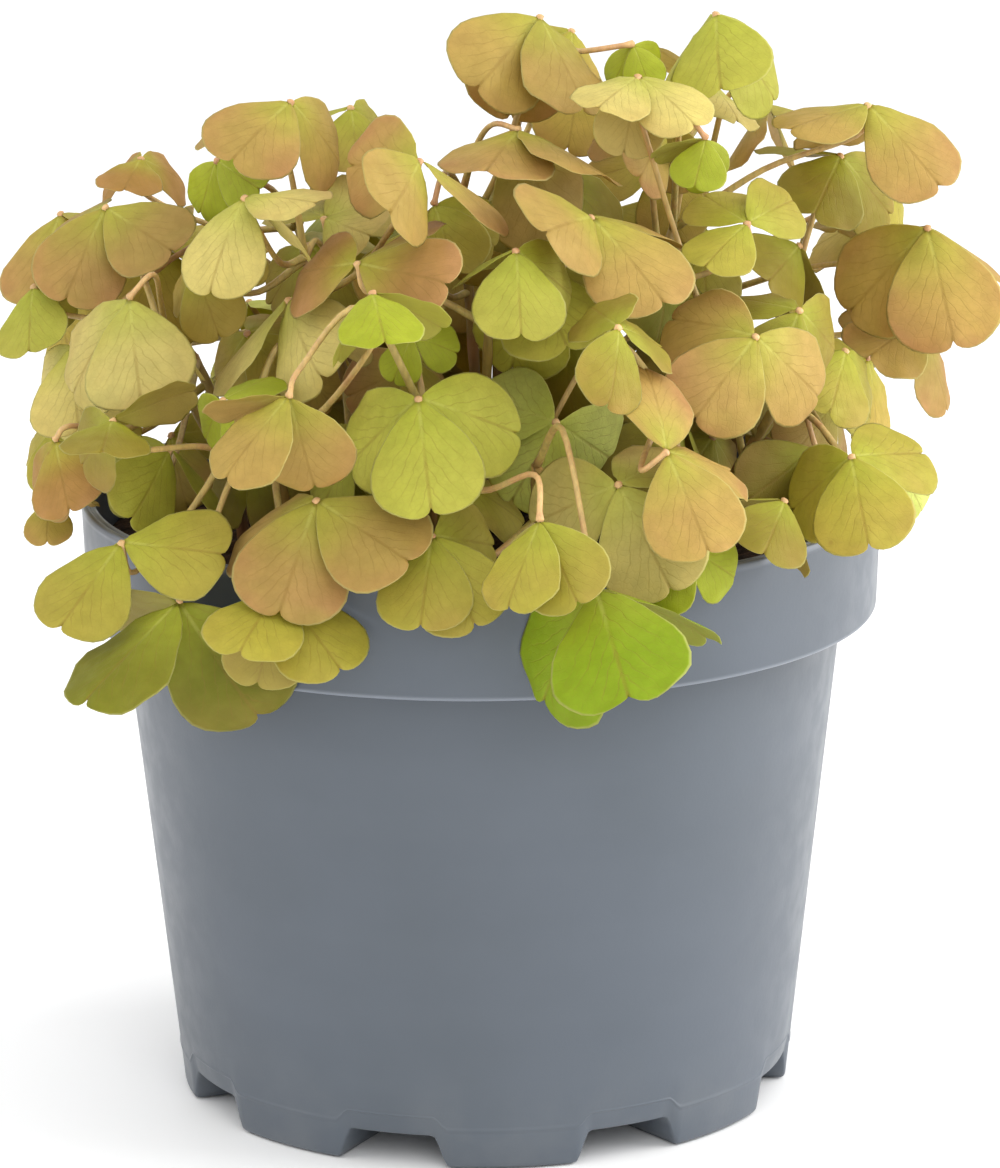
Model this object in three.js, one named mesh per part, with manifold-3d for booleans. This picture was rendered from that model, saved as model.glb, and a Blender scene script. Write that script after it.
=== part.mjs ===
// Potted oxalis: a bushy shamrock plant with three-leaflet leaves in a round nursery pot.
// Millimetres, +Z up. The origin is the middle of the pot's underside, and -Y faces the viewer.
import * as THREE from "three";
import { mergeVertices } from "three/addons/utils/BufferGeometryUtils.js";
import Module from "manifold-3d";

const wasm = await Module();
wasm.setup();

// Pot
const POT_HEIGHT = 91.5;
const RIM_RADIUS = 60;
const RIM_LIP = 1.9;
const COLLAR_HEIGHT = 17;
const COLLAR_FOOT_RADIUS = 59.4;
const BODY_TOP_RADIUS = 54.3;
const BASE_RADIUS = 46.1;
const WALL = 1.3;
const FLOOR_TOP = 7;
const EDGE_ROUND = 0.7;
const POT_SIDES = 40;
const CHANNEL_COUNT = 8;
const CHANNEL_HEIGHT = 4.8;
const CHANNEL_ANGLE = THREE.MathUtils.degToRad(21);
const CHANNEL_INNER_RADIUS = 24;
const FIRST_CHANNEL_AT = THREE.MathUtils.degToRad(252);
const CHANNEL_OVERRUN = 3;

// Soil
const SOIL_TOP = 83;
const SOIL_CROWN = 1.6;
const SOIL_LUMP = 0.5;
const LUMP_SPACING = [5.3, 4.7, 7.9];
const SEAT_GAP = 0.35;
const SOIL_RINGS = 5;

// Stems and leaf stalks
const STEM_RADIUS = 1.05;
const STEM_SIDES = 5;
const STEM_ROOT = 8;
const STEM_UPRIGHT = 2;
const STEM_BEND = { out: 0.25, up: 0.45 };
const STEM_SCATTER = { turn: 0.4, lean: 1, height: 10 };
const HOLE_RADIUS = 1.65;
const HOLE_SIDES = 6;
const STALK_RADIUS = 0.55;
const HUB_RADIUS = 0.85;
const HUB_HEIGHT = 0.95;
const LEAFLET_START = 0.3;

// Leaflets: sizes are shares of the leaflet's own length, from its base to the top of its lobes
const LEAFLET_LENGTH = 16.5;
const BLADE_DEPTH = 0.62;
const HALF_WIDTH = 0.465;
const WIDTH_POWER = 1.3;
const TIP_WEIGHT = 0.13;
const LENGTH_POWER = 0.78;
const LENGTH_SCALE = 1.04;
const NOTCH_DEPTH = 0.11;
const NOTCH_SPREAD = THREE.MathUtils.degToRad(13);
const FOLD = 0.2;
const NOTCH_AT = LENGTH_SCALE - NOTCH_DEPTH;
const FRONT_TURNS = [27, 56, 87, 120].map(THREE.MathUtils.degToRad);
const BACK_TURNS = [34, 98].map(THREE.MathUtils.degToRad);
const DROOP = THREE.MathUtils.degToRad(38);
const FACING = 1.25;
const EDGE_FACING = 0.25;
const OUTWARD_RISE = 0.9;
const OUTWARD_LEAN = 0.6;
const DROOP_SQUARES = [0.04, 0.75];
const GROWTHS = [1, 1.07, 0.93];
const HIDDEN_SHARE = 0.9;
const TWISTS = [0, 0.22, -0.22, 0.45, -0.45, 0.7, -0.7];

// What makes a leaf look unnatural, with the weight of each fault: leaflets nearer than spread or crowded
// (as the cosine of the angle between them), an unusual droop, facing inwards, a leaflet on the wrong side
// of the picture's plane, and a size other than the one that was read
const FAULTS = { spread: -0.2, crowded: 0.45, crowding: 4, droop: 1.5, inward: 1.2, side: 0.25, growth: 2 };
const POSES_TRIED = 4;

// How a leaf of the picture may differ from where it was read: millimetres along the line of sight, and
// how much of what is there it may meet: points of an earlier leaflet that it covers, places where earlier
// stalks pass before it, and points of its own unseen leaflets outside the outline
const DEPTH_SHIFTS = [0, 1.5, 3, -1.5, 4.5, -3, 6, -4.5, 8, -6, 10, -8, 12, -10, 15, -13, 18, 21, 25, 30];
const COVER_LIMITS = [
  { points: 1, stalks: 0 },
  { points: 4, stalks: 2 },
  { points: 8, stalks: 8 },
];
const STRAY_POINTS = 2;

// Ways that a stalk comes to its hub: shares of straight from behind the leaf, of inwards and of upwards
const STALK_ARRIVALS = [[1, 0, 0], [1, 0, -0.5], [1, 0.7, 0], [0.6, 0.6, 0.5], [0, 1, 0.8], [0, 0.3, 1]];

const STALK_NECKS = [5, 8, 3];
const STALK_RISES = [2, 7, 12, -3];
const ROOT_HEIGHTS = [1, 0.75, 0.5, 0.25];
const ROOT_BELOW_TIP = 0.02;
const ROOT_SPAN = 2.5;
const NECK_SPAN = { pot: 0.5, leaflets: 2.2 };
const NEAREST_STEMS = 7;
const BUSY_STEM = 2;
const STALK_SAMPLES = [0.2, 0.4, 0.6, 0.8, 1];
const STALK_COVERS = [0, 3];

// Clear distance between one piece and the next, and between two leaflets of one leaf: past their bases,
// and where an outer part passes the other's base
const CLEARANCE = 0.35;
const SIBLING_GAP = 0.05;
const TOUCH_GAP = 0.01;
const CHECK_STEP = 1.5;

// The viewpoint that the leaves of the front were read from, in a picture of 1000 x 1168 pixels
const VIEW_WIDTH = 1000;
const VIEW_HEIGHT = 1168;
const VIEW_FOCAL = 6046;
const VIEW_FROM = new THREE.Vector3(-5.17, -885.4, 298.8);
const VIEW_DOWN = THREE.MathUtils.degToRad(14.07);
const VIEW_TURN = THREE.MathUtils.degToRad(0.51);
const VIEW_ROLL = THREE.MathUtils.degToRad(-0.38);
const SIGHT_LENGTH = 1200;
const COVER_DEPTH = 90;
const COVER_REACH = 40;
const SIGHT_SLACK = 1;

// The crown that the leaf hubs lie on
const CROWN = { side: 67, front: 62, height: 76, centre: 88 };
const OVERHANG_RADIUS = 68;
const OVERHANG_BELOW = 97;
const OVERHANG_STEPS = 60;

// The visible leaves, front ones first, in picture pixels. Each has its hub, then the notches of its
// leaflets: near ones come towards the viewer, far ones lean away, and edge ones are seen on their edge.
const FRONT_LEAVES = [
  { hub: [618, 484], near: [[536, 522], [669, 587]], size: 18.5 },
  { hub: [418, 398], near: [[431, 507], [516, 431], [350, 460]], size: 17.5 },
  { hub: [690, 548], near: [[738, 578]], size: 11 },
  { hub: [316, 500], near: [[281, 610], [408, 560]], edge: [[229, 540]], size: 18 },
  { hub: [280, 590], near: [[341, 667], [244, 648]], size: 17 },
  { hub: [121, 542], near: [[64, 625], [221, 553]], size: 16 },
  { hub: [540, 16], near: [[584, 108], [511, 110]], far: [[482, 88]] },
  { hub: [927, 227], near: [[951, 341], [854, 307]], edge: [[998, 262]], size: 19 },
  { hub: [432, 535], near: [[421, 624], [474, 622]], far: [[494, 545]], size: 16 },
  { hub: [596, 588], near: [[543, 701], [626, 693]], size: 20 },
  { hub: [179, 601], near: [[90, 697], [255, 716]], size: 20 },
  { hub: [540, 520], near: [[575, 599], [508, 602]], size: 15 },
  { hub: [129, 298], near: [[144, 399], [70, 389]], size: 17 },
  { hub: [851, 456], near: [[864, 541], [797, 508]], far: [[926, 452]], size: 16 },
  { hub: [756, 336], near: [[822, 394], [696, 416]], far: [[674, 316]], size: 16 },
  { hub: [592, 217], near: [[662, 304], [548, 236]], edge: [[652, 224]], size: 18.5 },
  { hub: [357, 263], near: [[443, 284], [293, 268]], edge: [[416, 222]], size: 16 },
  { hub: [105, 207], near: [[174, 253], [68, 298]], edge: [[48, 224]], size: 14.5 },
  { hub: [244, 197], near: [[211, 290]], edge: [[297, 234]] },
  { hub: [291, 101], near: [[237, 161], [340, 160]], edge: [[203, 127]], size: 16 },
  { hub: [716, 13], near: [[718, 94]], far: [[665, 77]], edge: [[777, 94]], size: 15 },
  { hub: [868, 104], near: [[937, 186]], far: [[836, 128]] },
  { hub: [516, 250], near: [[521, 334]], far: [[575, 293]], edge: [[478, 263]], size: 14.5 },
  { hub: [170, 448], near: [[137, 518], [221, 503]], edge: [[99, 485]], size: 14 },
  { hub: [222, 400], near: [[203, 438]], size: 11 },
  { hub: [289, 396], near: [[228, 474], [312, 484]], edge: [[232, 414]], size: 15 },
  { hub: [556, 422], near: [[613, 458], [512, 500]], far: [[478, 393]], size: 15 },
  { hub: [667, 452], near: [[706, 548]], far: [[648, 367]], edge: [[732, 469]], size: 16 },
  { hub: [434, 204], near: [[458, 273], [497, 244]], size: 12 },
  { hub: [519, 130], near: [[556, 236], [486, 178]], edge: [[602, 181]], size: 18.5 },
  { hub: [420, 160], near: [[505, 213], [392, 217]], far: [[350, 160]] },
  { hub: [841, 155], near: [[812, 216], [893, 211]], size: 15 },
  { hub: [768, 104], near: [[800, 162]], edge: [[850, 133]], size: 15 },
  { hub: [879, 214], near: [[812, 247]], size: 14 },
  { hub: [706, 138], near: [[694, 186], [714, 186]], size: 8.5 },
  { hub: [664, 119], near: [[640, 181]], size: 14 },
  { hub: [633, 44], near: [[612, 86], [657, 71]], size: 8.5 },
  { hub: [747, 223], near: [[704, 268]], far: [[706, 192], [797, 196]], size: 12 },
  { hub: [324, 218], near: [[372, 240]], far: [[384, 192], [284, 196]], size: 13 },
  { hub: [288, 299], near: [[319, 377], [213, 378]] },
  { hub: [351, 107], near: [[359, 172]], far: [[384, 142]], size: 13 },
  { hub: [216, 160], near: [[198, 211], [262, 192]], size: 11 },
  { hub: [619, 327], near: [[610, 402]], far: [[592, 303], [662, 345]], size: 13.5 },
  { hub: [141, 158], near: [[128, 193]], far: [[184, 181], [103, 180]], size: 11 },
  { hub: [33, 286], near: [[33, 352]], size: 13 },
  { hub: [638, 76], near: [[692, 126], [598, 112]], size: 14 },
  { hub: [712, 85], near: [[697, 134], [736, 124]], size: 12 },
  { hub: [816, 449], near: [[748, 500], [832, 538]], size: 15 },
  { hub: [530, 265], near: [[566, 348], [512, 368]] },
  { hub: [418, 362], near: [[346, 396], [447, 378]], size: 14 },
  { hub: [412, 335], near: [[456, 352]], size: 8 },
  { hub: [922, 318], near: [[866, 357]], edge: [[949, 408]], size: 14 },
  { hub: [846, 350], near: [[874, 418], [828, 412]], size: 14 },
  { hub: [72, 345], near: [[83, 427], [45, 420]] },
  { hub: [60, 213], near: [[37, 300]] },
  { hub: [66, 415], near: [[60, 490], [26, 436]], size: 13 },
  { hub: [55, 440], near: [[38, 508], [72, 508]], size: 12 },
  { hub: [50, 497], near: [[49, 541]], size: 8 },
  { hub: [112, 420], near: [[78, 462], [108, 452]], size: 14 },
  { hub: [372, 292], near: [[386, 343]], size: 13 },
  { hub: [898, 468], near: [[925, 511]], size: 9 },
  { hub: [800, 245], near: [[765, 285]], size: 15 },
  { hub: [800, 310], near: [[842, 350]], size: 15 },
  { hub: [785, 500], near: [[762, 552]], size: 13 },
];

// The outline of the foliage in the picture: leaves that the picture doesn't show stay inside it
const FOLIAGE_OUTLINE = [
  [4, 300], [28, 230], [60, 200], [105, 182], [140, 158], [182, 165], [212, 150], [205, 128], [262, 98],
  [300, 101], [352, 106], [384, 142], [478, 140], [495, 112], [474, 82], [505, 32], [541, 16], [575, 24],
  [600, 60], [640, 44], [668, 48], [700, 16], [735, 16], [765, 60], [772, 98], [838, 126], [868, 104],
  [905, 114], [940, 150], [943, 190], [915, 206], [990, 255], [995, 310], [970, 350], [915, 368],
  [884, 420], [930, 448], [932, 500], [915, 530], [880, 545], [760, 610], [700, 740], [60, 760], [50, 560],
  [36, 500], [24, 430], [44, 400], [40, 352], [12, 360],
];

// Leaves set by rule: deeper ones that show through the gaps between the visible ones, and those behind
// and at the sides, on shells of the crown. Lengths and depths are drawn between two ends.
const INNER_LEAVES = { count: 30, tries: 2500, depth: [4, 45], length: [11, 17], lowest: 620 };
const INNER_SHIFTS = [0, 4, 8, 13, 19];
const INNER_LEAN = 0.3;
const INNER_FACING = 0.5;
const LEAFLET_MIDDLE = 0.55;
const BACK_SHELLS = [
  { side: 60, back: 62, height: 46, base: 94, count: 26, tries: 400 },
  { side: 50, back: 48, height: 44, base: 94, count: 12, tries: 200 },
  { side: 42, back: 34, height: 30, base: 96, count: 6, tries: 100 },
];
const BACK_SHIFTS = [0, 3, 6, 10];
const BACK_LENGTH = [14, 18];
const BACK_UPRIGHT = 0.35;
const BACK_MARGIN = 4;
const SEED = 33;

// Stems stand in rings; each ring has its radius in the soil, how far its tips lean out, and their height
const STEM_RINGS = [
  { count: 1, radius: 0, lean: 3, top: 136 },
  { count: 6, radius: 17, lean: 13, top: 127 },
  { count: 12, radius: 36, lean: 11, top: 110 },
];

function seededRandom(seed) {
  let state = seed;
  return () => {
    state = (state + 0x6d2b79f5) | 0;
    let mixed = Math.imul(state ^ (state >>> 15), 1 | state);
    mixed = (mixed + Math.imul(mixed ^ (mixed >>> 7), 61 | mixed)) ^ mixed;
    return ((mixed ^ (mixed >>> 14)) >>> 0) / 4294967296;
  };
}

const random = seededRandom(SEED);
const vector = (x, y, z) => new THREE.Vector3(x, y, z);
const along = (point, direction, distance) => point.clone().addScaledVector(direction, distance);
const UP = vector(0, 0, 1);

// Closed solids

function solidOf(geometry) {
  const bare = new THREE.BufferGeometry();
  bare.setAttribute("position", geometry.getAttribute("position"));
  if (geometry.index) bare.setIndex(geometry.index);
  const merged = mergeVertices(bare, 1e-4);
  return new wasm.Manifold(
    new wasm.Mesh({
      numProp: 3,
      vertProperties: merged.getAttribute("position").array,
      triVerts: new Uint32Array(merged.index.array),
    }),
  );
}

function geometryOf(solid) {
  const mesh = solid.getMesh();
  const geometry = new THREE.BufferGeometry();
  geometry.setAttribute("position", new THREE.BufferAttribute(new Float32Array(mesh.vertProperties), 3));
  geometry.setIndex(new THREE.BufferAttribute(new Uint32Array(mesh.triVerts), 1));
  const faceted = geometry.toNonIndexed();
  faceted.computeVertexNormals();
  return faceted;
}

function solidFrom(points, faces) {
  const geometry = new THREE.BufferGeometry().setFromPoints(points);
  geometry.setIndex(faces.flat());
  return solidOf(geometry);
}

function turned(profile, sides) {
  const points = profile.map(([radius, height]) => new THREE.Vector2(radius, height));
  return new THREE.LatheGeometry(points, sides).rotateX(Math.PI / 2);
}

// A tube through a list of points, with its own radius at each point and flat ends.
function tubeSolid(path, radii, sides) {
  const rings = [];
  let across = null;
  path.forEach((point, i) => {
    const before = path[Math.max(i - 1, 0)];
    const after = path[Math.min(i + 1, path.length - 1)];
    const tangent = after.clone().sub(before).normalize();
    across = across ?? (Math.abs(tangent.z) < 0.9 ? UP.clone() : vector(1, 0, 0));
    across = across.clone().addScaledVector(tangent, -across.dot(tangent)).normalize();
    const beside = tangent.clone().cross(across);
    for (let k = 0; k < sides; k += 1) {
      const turn = (2 * Math.PI * k) / sides;
      const rim = along(point, across, radii[i] * Math.cos(turn));
      rings.push(rim.addScaledVector(beside, radii[i] * Math.sin(turn)));
    }
  });
  const faces = [];
  const last = (path.length - 1) * sides;
  for (let i = 0; i < last; i += sides) {
    for (let k = 0; k < sides; k += 1) {
      const next = (k + 1) % sides;
      faces.push([i + k, i + next, i + sides + k], [i + next, i + sides + next, i + sides + k]);
    }
  }
  for (let k = 1; k < sides - 1; k += 1) {
    faces.push([0, k + 1, k], [last, last + k, last + k + 1]);
  }
  return solidFrom(rings, faces);
}

// Pot

// Radius of the pot's outside at a height, and of its inside.
function potOutside(height) {
  const collarFoot = POT_HEIGHT - COLLAR_HEIGHT;
  if (height >= collarFoot) {
    return THREE.MathUtils.mapLinear(height, collarFoot, POT_HEIGHT, COLLAR_FOOT_RADIUS, RIM_RADIUS);
  }
  return THREE.MathUtils.mapLinear(height, 0, collarFoot, BASE_RADIUS, BODY_TOP_RADIUS);
}

function potSolid() {
  const collarFoot = POT_HEIGHT - COLLAR_HEIGHT;
  const profile = [
    [0, 0],
    [BASE_RADIUS - 2 * EDGE_ROUND, 0],
    [BASE_RADIUS, 2 * EDGE_ROUND],
    [BODY_TOP_RADIUS, collarFoot],
    [COLLAR_FOOT_RADIUS - EDGE_ROUND, collarFoot],
    [COLLAR_FOOT_RADIUS, collarFoot + EDGE_ROUND],
    [RIM_RADIUS, POT_HEIGHT - EDGE_ROUND],
    [RIM_RADIUS - EDGE_ROUND, POT_HEIGHT],
    [RIM_RADIUS - RIM_LIP, POT_HEIGHT],
    [COLLAR_FOOT_RADIUS - WALL, collarFoot + WALL],
    [BODY_TOP_RADIUS - WALL, collarFoot + WALL],
    [potOutside(FLOOR_TOP) - WALL, FLOOR_TOP],
    [0, FLOOR_TOP],
  ];
  let pot = solidOf(turned(profile, POT_SIDES));
  for (let i = 0; i < CHANNEL_COUNT; i += 1) {
    const from = FIRST_CHANNEL_AT + (2 * Math.PI * i) / CHANNEL_COUNT - CHANNEL_ANGLE / 2;
    const outline = new THREE.Shape();
    outline.absarc(0, 0, CHANNEL_INNER_RADIUS, from + CHANNEL_ANGLE, from, true);
    outline.absarc(0, 0, BASE_RADIUS + CHANNEL_OVERRUN, from, from + CHANNEL_ANGLE, false);
    const channel = new THREE.ExtrudeGeometry(outline, {
      depth: 2 * CHANNEL_HEIGHT,
      bevelEnabled: false,
      curveSegments: 2,
    });
    pot = pot.subtract(solidOf(channel.translate(0, 0, -CHANNEL_HEIGHT)));
  }
  return pot;
}

// Soil

// Height of the soil's surface: a low crown with soft lumps.
function soilHeight(x, y) {
  const crown = SOIL_CROWN * (1 - (x * x + y * y) / (RIM_RADIUS * RIM_RADIUS));
  const [acrossX, acrossY, diagonal] = LUMP_SPACING;
  const lumps = Math.sin(x / acrossX + 1) * Math.cos(y / acrossY) + Math.sin((x + y) / diagonal);
  return SOIL_TOP + crown + SOIL_LUMP * lumps;
}

function soilSolid(stems) {
  const collarFoot = POT_HEIGHT - COLLAR_HEIGHT;
  const top = [];
  const reach = COLLAR_FOOT_RADIUS - WALL - SEAT_GAP;
  for (let ring = SOIL_RINGS; ring >= 0; ring -= 1) top.push([(reach * ring) / SOIL_RINGS, SOIL_TOP]);
  const geometry = turned(
    [
      [0, FLOOR_TOP + SEAT_GAP],
      [potOutside(FLOOR_TOP) - WALL - SEAT_GAP, FLOOR_TOP + SEAT_GAP],
      [BODY_TOP_RADIUS - WALL - SEAT_GAP, collarFoot + WALL + SEAT_GAP],
      [reach, collarFoot + WALL + SEAT_GAP],
      ...top,
    ],
    POT_SIDES / 2,
  );
  const places = geometry.getAttribute("position");
  for (let i = 0; i < places.count; i += 1) {
    if (places.getZ(i) > SOIL_TOP - 0.01) {
      places.setZ(i, soilHeight(places.getX(i), places.getY(i)));
    }
  }
  let soil = solidOf(geometry);
  for (const stem of stems) {
    const foot = stem.path[0];
    const depth = 2 * STEM_ROOT;
    const hole = new THREE.CylinderGeometry(HOLE_RADIUS, HOLE_RADIUS, depth, HOLE_SIDES);
    hole.rotateX(Math.PI / 2).translate(foot.x, foot.y, foot.z - SEAT_GAP + depth / 2);
    soil = soil.subtract(solidOf(hole));
  }
  return soil;
}

// Leaflets

// The leaflet's right edge as [across, along], from the notch at turn 0 to the base at turn pi:
// an egg that is wide at the tip, with a narrow dip at its top.
function leafletEdge(turn) {
  const across = HALF_WIDTH * Math.sin(turn) ** WIDTH_POWER * (1 + TIP_WEIGHT * Math.cos(turn));
  const rise = LENGTH_SCALE * ((1 + Math.cos(turn)) / 2) ** LENGTH_POWER;
  return [across, rise - NOTCH_DEPTH * Math.exp(-turn / NOTCH_SPREAD)];
}

// A leaflet is a thin blade, folded along its midrib so that both halves slope down from it.
// out runs along the midrib, up is the side that faces the light, and it grows from two corners of the hub.
function makeBlade(hub, out, up, length, turns, rightCorner, leftCorner) {
  const normal = up.clone().addScaledVector(out, -up.dot(out)).normalize();
  const across = out.clone().cross(normal);
  const start = along(hub, out, LEAFLET_START);
  const place = ([x, y]) =>
    along(along(along(start, across, x * length), out, y * length), normal, -FOLD * Math.abs(x) * length);
  const edge = turns.map(leafletEdge);
  const right = edge.map(place);
  const left = edge.map(([x, y]) => place([-x, y])).reverse();
  const outline = [place([0, NOTCH_AT]), ...right, rightCorner, leftCorner, ...left];
  const middle = outline.reduce((sum, point) => sum.add(point), vector(0, 0, 0));
  middle.divideScalar(outline.length);
  const corners = [turns.length + 1, turns.length + 2];
  const makeFan = (fan) => makeTriangle(...fan.map((index) => outline[index]));
  return {
    outline,
    normal,
    corners,
    middle,
    reach: Math.max(...outline.map((point) => point.distanceTo(middle))),
    triangles: fanFrom(outline).map(makeFan),
    outer: fanFrom(outline)
      .filter((fan) => !fan.includes(corners[0]) && !fan.includes(corners[1]))
      .map(makeFan),
  };
}

// Triangles of an outline, fanned from its notch, so that each half of the leaflet is flat.
function fanFrom(outline) {
  const fans = [];
  for (let i = 1; i < outline.length - 1; i += 1) fans.push([0, i, i + 1]);
  return fans;
}

// Three leaflets round a hub. Neighbours share a corner of the hub, half way between them.
function makeLeaf(hub, axis, outs, ups, lengths, turns) {
  const square = Math.abs(axis.z) < 0.9 ? UP : vector(1, 0, 0);
  const zero = square.clone().addScaledVector(axis, -square.dot(axis)).normalize();
  const quarter = axis.clone().cross(zero);
  const angles = outs.map((out) => Math.atan2(out.dot(quarter), out.dot(zero)));
  const order = [0, 1, 2].sort((i, j) => angles[i] - angles[j]);
  const corners = order.map((i, k) => {
    const next = order[(k + 1) % 3];
    const gap = (angles[next] - angles[i] + 2 * Math.PI) % (2 * Math.PI);
    const turn = angles[i] + gap / 2;
    return along(along(hub, zero, HUB_RADIUS * Math.cos(turn)), quarter, HUB_RADIUS * Math.sin(turn));
  });
  const blades = order.map((i, k) => {
    const blade = makeBlade(hub, outs[i], ups[i], lengths[i], turns, corners[(k + 2) % 3], corners[k]);
    blade.index = i;
    return blade;
  });
  return { hub, axis, corners, blades };
}

// The solid of a leaf: its blades, the hub between them, and its stalk with three sides.
function leafSolid({ axis, corners, blades }, route) {
  const points = [];
  const faces = [];
  const add = (point) => points.push(point) - 1;
  const top = corners.map((corner) => add(along(corner, axis, HUB_HEIGHT / 2)));
  const bottom = corners.map((corner) => add(along(corner, axis, -HUB_HEIGHT / 2)));
  faces.push([top[0], top[1], top[2]]);
  blades.forEach((blade, k) => {
    const right = (k + 2) % 3;
    const upper = [];
    const lower = [];
    blade.outline.forEach((point, i) => {
      const corner = blade.corners.indexOf(i);
      if (corner >= 0) {
        upper.push(top[corner === 0 ? right : k]);
        lower.push(bottom[corner === 0 ? right : k]);
      } else {
        upper.push(add(along(point, blade.normal, BLADE_DEPTH / 2)));
        lower.push(add(along(point, blade.normal, -BLADE_DEPTH / 2)));
      }
    });
    for (const [a, b, c] of fanFrom(blade.outline)) {
      faces.push([upper[a], upper[c], upper[b]], [lower[a], lower[b], lower[c]]);
    }
    upper.forEach((corner, i) => {
      const next = (i + 1) % upper.length;
      if (i === blade.corners[0]) return;
      faces.push([corner, upper[next], lower[next]], [corner, lower[next], lower[i]]);
    });
  });
  const rings = stalkRings(route, corners, axis).map((ring) => ring.map(add));
  rings.push(bottom);
  faces.push([rings[0][0], rings[0][2], rings[0][1]]);
  for (let i = 0; i < rings.length - 1; i += 1) {
    for (let k = 0; k < 3; k += 1) {
      const next = (k + 1) % 3;
      faces.push([rings[i][k], rings[i][next], rings[i + 1][next]]);
      faces.push([rings[i][k], rings[i + 1][next], rings[i + 1][k]]);
    }
  }
  return solidFrom(points, faces);
}

// The stalk's cross-sections, carried back from the hub's corners with as little twist as can be.
function stalkRings(route, corners, axis) {
  const hub = route[route.length - 1];
  let across = corners[0].clone().sub(hub).normalize();
  const rings = [];
  for (let i = route.length - 2; i >= 0; i -= 1) {
    const before = route[Math.max(i - 1, 0)];
    const tangent = route[i + 1].clone().sub(before).normalize();
    across = across.clone().addScaledVector(tangent, -across.dot(tangent)).normalize();
    const beside = tangent.clone().cross(across);
    const ring = corners.map((corner, k) => {
      const turn = (2 * Math.PI * k) / 3;
      const point = along(route[i], across, STALK_RADIUS * Math.cos(turn));
      return point.addScaledVector(beside, STALK_RADIUS * Math.sin(turn));
    });
    rings.unshift(ring);
  }
  return rings;
}

// Distances, used to keep every leaf and stalk clear of its neighbours

function makeTriangle(a, b, c) {
  const middle = a.clone().add(b).add(c).divideScalar(3);
  const reach = Math.max(a.distanceTo(middle), b.distanceTo(middle), c.distanceTo(middle));
  return { corners: [a, b, c], flat: new THREE.Triangle(a, b, c), middle, reach };
}

// Shortest distance between segments p1-q1 and p2-q2.
function segmentGap(p1, q1, p2, q2) {
  const d1 = q1.clone().sub(p1);
  const d2 = q2.clone().sub(p2);
  const r = p1.clone().sub(p2);
  const a = d1.dot(d1);
  const e = d2.dot(d2);
  const b = d1.dot(d2);
  const c = d1.dot(r);
  const f = d2.dot(r);
  const spread = a * e - b * b;
  let s = spread > 1e-9 ? THREE.MathUtils.clamp((b * f - c * e) / spread, 0, 1) : 0;
  let t = (b * s + f) / e;
  if (t < 0 || t > 1) {
    t = THREE.MathUtils.clamp(t, 0, 1);
    s = THREE.MathUtils.clamp((b * t - c) / a, 0, 1);
  }
  return p1.addScaledVector(d1, s).distanceTo(p2.clone().addScaledVector(d2, t));
}

// Whether segment p-q passes through the triangle.
function passesThrough(p, q, [a, b, c]) {
  const direction = q.clone().sub(p);
  const edge1 = b.clone().sub(a);
  const edge2 = c.clone().sub(a);
  const h = direction.clone().cross(edge2);
  const det = edge1.dot(h);
  if (Math.abs(det) < 1e-12) return false;
  const s = p.clone().sub(a);
  const u = s.dot(h) / det;
  if (u < 0 || u > 1) return false;
  const k = s.cross(edge1);
  const v = direction.dot(k) / det;
  if (v < 0 || u + v > 1) return false;
  const t = edge2.dot(k) / det;
  return t > 0 && t < 1;
}

const nearest = vector(0, 0, 0);

function pointTriangleGap(point, triangle) {
  triangle.flat.closestPointToPoint(point, nearest);
  return nearest.distanceTo(point);
}

function segmentNearTriangle(p, q, triangle, limit) {
  const corners = triangle.corners;
  if (passesThrough(p, q, corners)) return true;
  if (pointTriangleGap(p, triangle) < limit || pointTriangleGap(q, triangle) < limit) return true;
  return corners.some((corner, i) => segmentGap(p.clone(), q, corner, corners[(i + 1) % 3]) < limit);
}

function trianglesNear(one, two, limit) {
  if (one.middle.distanceTo(two.middle) > one.reach + two.reach + limit) return false;
  const [a, b] = [one.corners, two.corners];
  if (a.some((corner, i) => segmentNearTriangle(corner, a[(i + 1) % 3], two, limit))) return true;
  return b.some((corner, i) => {
    const next = b[(i + 1) % 3];
    return passesThrough(corner, next, a) || pointTriangleGap(corner, one) < limit;
  });
}

function bladesNear(one, two, limit, first = one.triangles, second = two.triangles) {
  if (one.middle.distanceTo(two.middle) > one.reach + two.reach + limit) return false;
  return first.some((a) => second.some((b) => trianglesNear(a, b, limit)));
}

// Whether two leaflets of one leaf touch anywhere past the corner that they share.
function siblingsCross(one, two) {
  return (
    bladesNear(one, two, BLADE_DEPTH + SIBLING_GAP, one.outer, two.outer) ||
    bladesNear(one, two, TOUCH_GAP, one.triangles, two.outer) ||
    bladesNear(one, two, TOUCH_GAP, one.outer, two.triangles)
  );
}

// A rod is one straight stretch of a stem or stalk.
function makeRod(from, to, radius) {
  const middle = from.clone().lerp(to, 0.5);
  return { from, to, radius, middle, reach: from.distanceTo(to) / 2 };
}

function rodNearBlade(rod, blade) {
  const limit = rod.radius + BLADE_DEPTH / 2 + CLEARANCE;
  if (rod.middle.distanceTo(blade.middle) > rod.reach + blade.reach + limit) return false;
  return blade.triangles.some((triangle) => segmentNearTriangle(rod.from, rod.to, triangle, limit));
}

function rodsNear(one, two) {
  const limit = one.radius + two.radius + CLEARANCE;
  if (one.middle.distanceTo(two.middle) > one.reach + two.reach + limit) return false;
  return segmentGap(one.from.clone(), one.to, two.from, two.to) < limit;
}

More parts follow.
